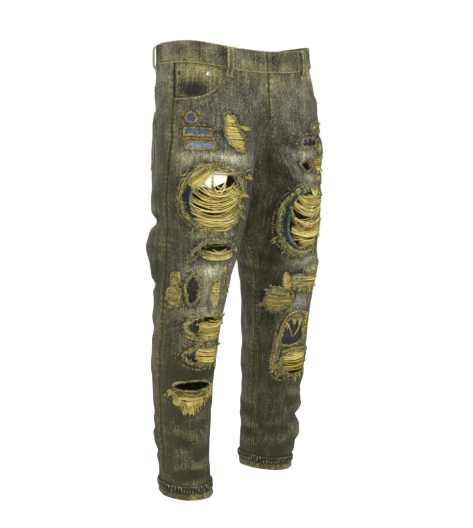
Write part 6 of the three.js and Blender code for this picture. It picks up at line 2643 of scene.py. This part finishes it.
@dataclass
class Hardware:
    """The shank button and the rivets."""

    right: Leg
    left: Leg
    waist: Waist
    rivet_radius: float = 4.2
    rivet_rise: float = 1.1
    button_radius: float = 8.5
    button_from_front: float = 13.0
    button_height: float = -6.0

    def select_top(self, item: bpy.types.Object) -> None:
        """Selects the faces that point up, in edit mode.

        Args:
            item: The piece.
        """
        mesh = bmesh.from_edit_mesh(item.data)
        top = max(face.calc_center_median().z for face in mesh.faces)
        for face in mesh.faces:
            face.select = face.normal.z > 0.9 and face.calc_center_median().z > top - 1e-6
        mesh.select_flush_mode()
        bmesh.update_edit_mesh(item.data)

    def head(self, name: str, radius: float, rise: float, steps: Sequence[tuple[float, float]],
             bevel: float, vertices: int = 28) -> bpy.types.Object:
        """Shapes a round metal head from a cylinder.

        Args:
            name: The piece's name.
            radius: Its radius.
            rise: Its height.
            steps: Inset and lift of each ring inwards.
            bevel: Width of its rounded edges.
            vertices: Corners of its outline.

        Returns:
            The piece, at the origin with its axis up.
        """
        bpy.ops.object.select_all(action="DESELECT")
        bpy.ops.mesh.primitive_cylinder_add(vertices=vertices, radius=radius * MM, depth=rise * MM,
                                            location=(0, 0, rise * MM / 2))
        item = bpy.context.active_object
        item.name = name
        bpy.ops.object.transform_apply(location=True, rotation=True, scale=True)
        bpy.ops.object.mode_set(mode="EDIT")
        bpy.ops.mesh.select_all(action="DESELECT")
        self.select_top(item)
        for inset, lift in steps:
            bpy.ops.mesh.inset(thickness=inset * MM, depth=0)
            bpy.ops.transform.translate(value=(0, 0, lift * MM))
        bpy.ops.object.mode_set(mode="OBJECT")
        rounding = item.modifiers.new("rounding", "BEVEL")
        rounding.width = bevel * MM
        rounding.segments = 2
        rounding.limit_method = "ANGLE"
        rounding.angle_limit = math.radians(25)
        bpy.ops.object.modifier_apply(modifier="rounding")
        bpy.ops.object.shade_smooth_by_angle(angle=math.radians(40))
        return item

    def seat(self, item: bpy.types.Object, point: Array, normal: Array) -> None:
        """Moves a head's mesh to its place on the cloth."""
        turn = Vector((0, 0, 1)).rotation_difference(Vector(normal.tolist())).to_matrix().to_4x4()
        item.data.transform(Matrix.Translation(Vector((point * MM).tolist())) @ turn)

    def rivet(self, wardrobe: Wardrobe, node: str, leg: Leg, x: float, h: float, level: float,
              finish: MetalFinish) -> None:
        """Makes one rivet.

        Args:
            wardrobe: Dresses the piece.
            node: The node it stands for.
            leg: The leg.
            x: Its distance in from the outseam.
            h: Its height.
            level: The cloth's level there.
            finish: Its metal.
        """
        item = self.head(f"{node}_metal", self.rivet_radius, self.rivet_rise * 0.6,
                         ((0.9, 0.0), (0.5, -0.25), (0.7, 0.0), (0.6, 0.6), (0.5, 0.1)), 0.12)
        point, normal = leg.place(Kind.FRONT, np.array([x]), np.array([h]), level)
        self.seat(item, point[0], normal[0])
        wardrobe.dress(item, finish, (node,))

    def build(self, wardrobe: Wardrobe) -> None:
        """Makes the rivets and the button.

        Args:
            wardrobe: Dresses the pieces.
        """
        for leg in (self.right, self.left):
            self.rivet(wardrobe, f"rivet_mouth_front_{leg.name}", leg, 115, -37, 0.6, COPPER)
            self.rivet(wardrobe, f"rivet_mouth_side_{leg.name}", leg, 9, -107, 0.6, COPPER)
        coin = 1.5 - LAYER
        self.rivet(wardrobe, "rivet_coin_outer", self.right, 12, -50, coin, COPPER)
        self.rivet(wardrobe, "rivet_coin_inner", self.right, 81, -48, coin, PALE_METAL)
        item = self.head("waist_button_metal", self.button_radius, 3.0,
                         ((1.0, 0.7), (1.3, 0.2), (0.7, -0.7), (2.6, -0.1), (1.2, 0.4)), 0.35, 40)
        along = np.array([-self.button_from_front])
        level = self.waist.out + self.waist.lap + GAP + 0.4
        point, normal = self.waist.at(along, np.array([self.button_height]), np.array([level]))
        self.seat(item, point[0], normal[0])
        wardrobe.dress(item, GUNMETAL, ("waist_button",))


# ------------------------------------------------------------------ studio

@dataclass
class Studio:
    """The floor, the soft light and the camera. Sizes in metres."""

    azimuth: float = -38.0
    elevation: float = 7.3
    distance: float = 2.2
    aim: float = -0.446
    lens: float = 70.2
    clip_start: float = 0.05
    floor_height: float = -1.2
    floor_size: float = 16.0
    daylight: float = 1.05
    lit: tuple[float, float, float] = (0, 0, -0.4)
    lights: tuple[tuple[str, tuple[float, float, float], float, float], ...] = (
        ("key", (-2.1, -2.4, 1.3), 1.4, 62.0),
        ("fill", (1.9, -2.3, 0.5), 2.2, 16.0),
        ("behind", (0.6, 2.6, 1.4), 2.2, 36.0),
    )

    def floor(self) -> None:
        """Lays the floor."""
        bpy.ops.object.select_all(action="DESELECT")
        bpy.ops.mesh.primitive_plane_add(size=self.floor_size, location=(0, 0, self.floor_height))
        floor = bpy.context.active_object
        floor.name = "studio_floor"
        bpy.ops.object.transform_apply(location=True, rotation=True, scale=True)
        g = Graph("studio_floor")
        spot = g.node("ShaderNodeTexCoord").outputs["Object"]
        shade = g.mix(g.noise(spot, 3.0, 3.0), srgb(248, 248, 247), srgb(251, 251, 250))
        floor.data.materials.append(g.finish(shade, 0.85))

    def area(self, name: str, place: tuple[float, float, float], size: float, power: float) -> None:
        """Hangs a soft area light.

        Args:
            name: The light's name.
            place: Where it hangs.
            size: Its side.
            power: Its power in watts.
        """
        data = bpy.data.lights.new(name, "AREA")
        data.size = size
        data.energy = power
        lamp = bpy.data.objects.new(name, data)
        lamp.location = place
        lamp.rotation_euler = (Vector(self.lit) - Vector(place)).to_track_quat("-Z", "Y").to_euler()
        bpy.context.scene.collection.objects.link(lamp)

    def build(self) -> None:
        """Makes the floor, the lights and the camera."""
        self.floor()
        for name, place, size, power in self.lights:
            self.area(name, place, size, power)
        world = bpy.data.worlds.new("studio")
        world.use_nodes = True
        sky = world.node_tree.nodes["Background"]
        sky.inputs[0].default_value = (1.0, 1.0, 1.0, 1.0)
        sky.inputs[1].default_value = self.daylight
        bpy.context.scene.world = world
        bpy.context.scene.view_settings.view_transform = "Standard"
        azimuth, elevation = math.radians(self.azimuth), math.radians(self.elevation)
        data = bpy.data.cameras.new("camera")
        data.lens = self.lens
        data.clip_start = self.clip_start
        camera = bpy.data.objects.new("camera", data)
        camera.location = (self.distance * math.sin(azimuth) * math.cos(elevation),
                           -self.distance * math.cos(azimuth) * math.cos(elevation),
                           self.aim + self.distance * math.sin(elevation))
        target = Vector((0, 0, self.aim))
        camera.rotation_euler = (target - camera.location).to_track_quat("-Z", "Y").to_euler()
        bpy.context.scene.collection.objects.link(camera)
        bpy.context.scene.camera = camera


def main() -> None:
    """Builds the jeans piece by piece, and then the studio."""
    logging.basicConfig(level=logging.INFO, format="%(name)s %(message)s")
    wardrobe = Wardrobe()
    right = Leg(LegShape("right", -1, -926.0, (0.04, 0.05), HIPS + RIGHT_LEG, RIGHT_FOLDS, RIGHT_CREASES, 11))
    left = Leg(LegShape("left", 1, -915.0, (-0.13, 0.0), LEFT_HIPS + LEFT_LEG, LEFT_FOLDS, LEFT_CREASES, 23))
    for leg, tears, blots in ((right, RIGHT_TEARS, RIGHT_BLOTS), (left, LEFT_TEARS, LEFT_BLOTS)):
        cuts = (mouth_outline(),) + tuple(tear.edge.outline() for tear in tears if tear.cut)
        rims = tuple((tear.edge.outline(), tear.band) for tear in tears if tear.worn)
        Panel(leg, "front", cuts, rims, blots).build(wardrobe)
        Panel(leg, "back", blots=BACK_BLOTS, columns=66).build(wardrobe)
        Panel(leg, "yoke", blots=BACK_BLOTS, columns=66).build(wardrobe)
    Mending(right, left).build(wardrobe)
    waist = Waist(right, left)
    waist.build(wardrobe)
    for leg in (right, left):
        TurnUp(leg).build(wardrobe)
    Fraying(right, 31).build(wardrobe, RIGHT_TEARS)
    Fraying(left, 47).build(wardrobe, LEFT_TEARS)
    for leg, seed in ((right, 5), (left, 6)):
        sewing = Topstitching(seed)
        sew_leg(sewing, leg)
        sewing.build(wardrobe, f"topstitching_{leg.name}")
    sewing = Topstitching(7)
    sew_middle(sewing, right, left, waist)
    close_seams(wardrobe, right, left)
    sewing.build(wardrobe, "topstitching_waist_and_fly")
    Hardware(right, left, waist).build(wardrobe)
    Studio().build()


if __name__ == "__main__":
    main()
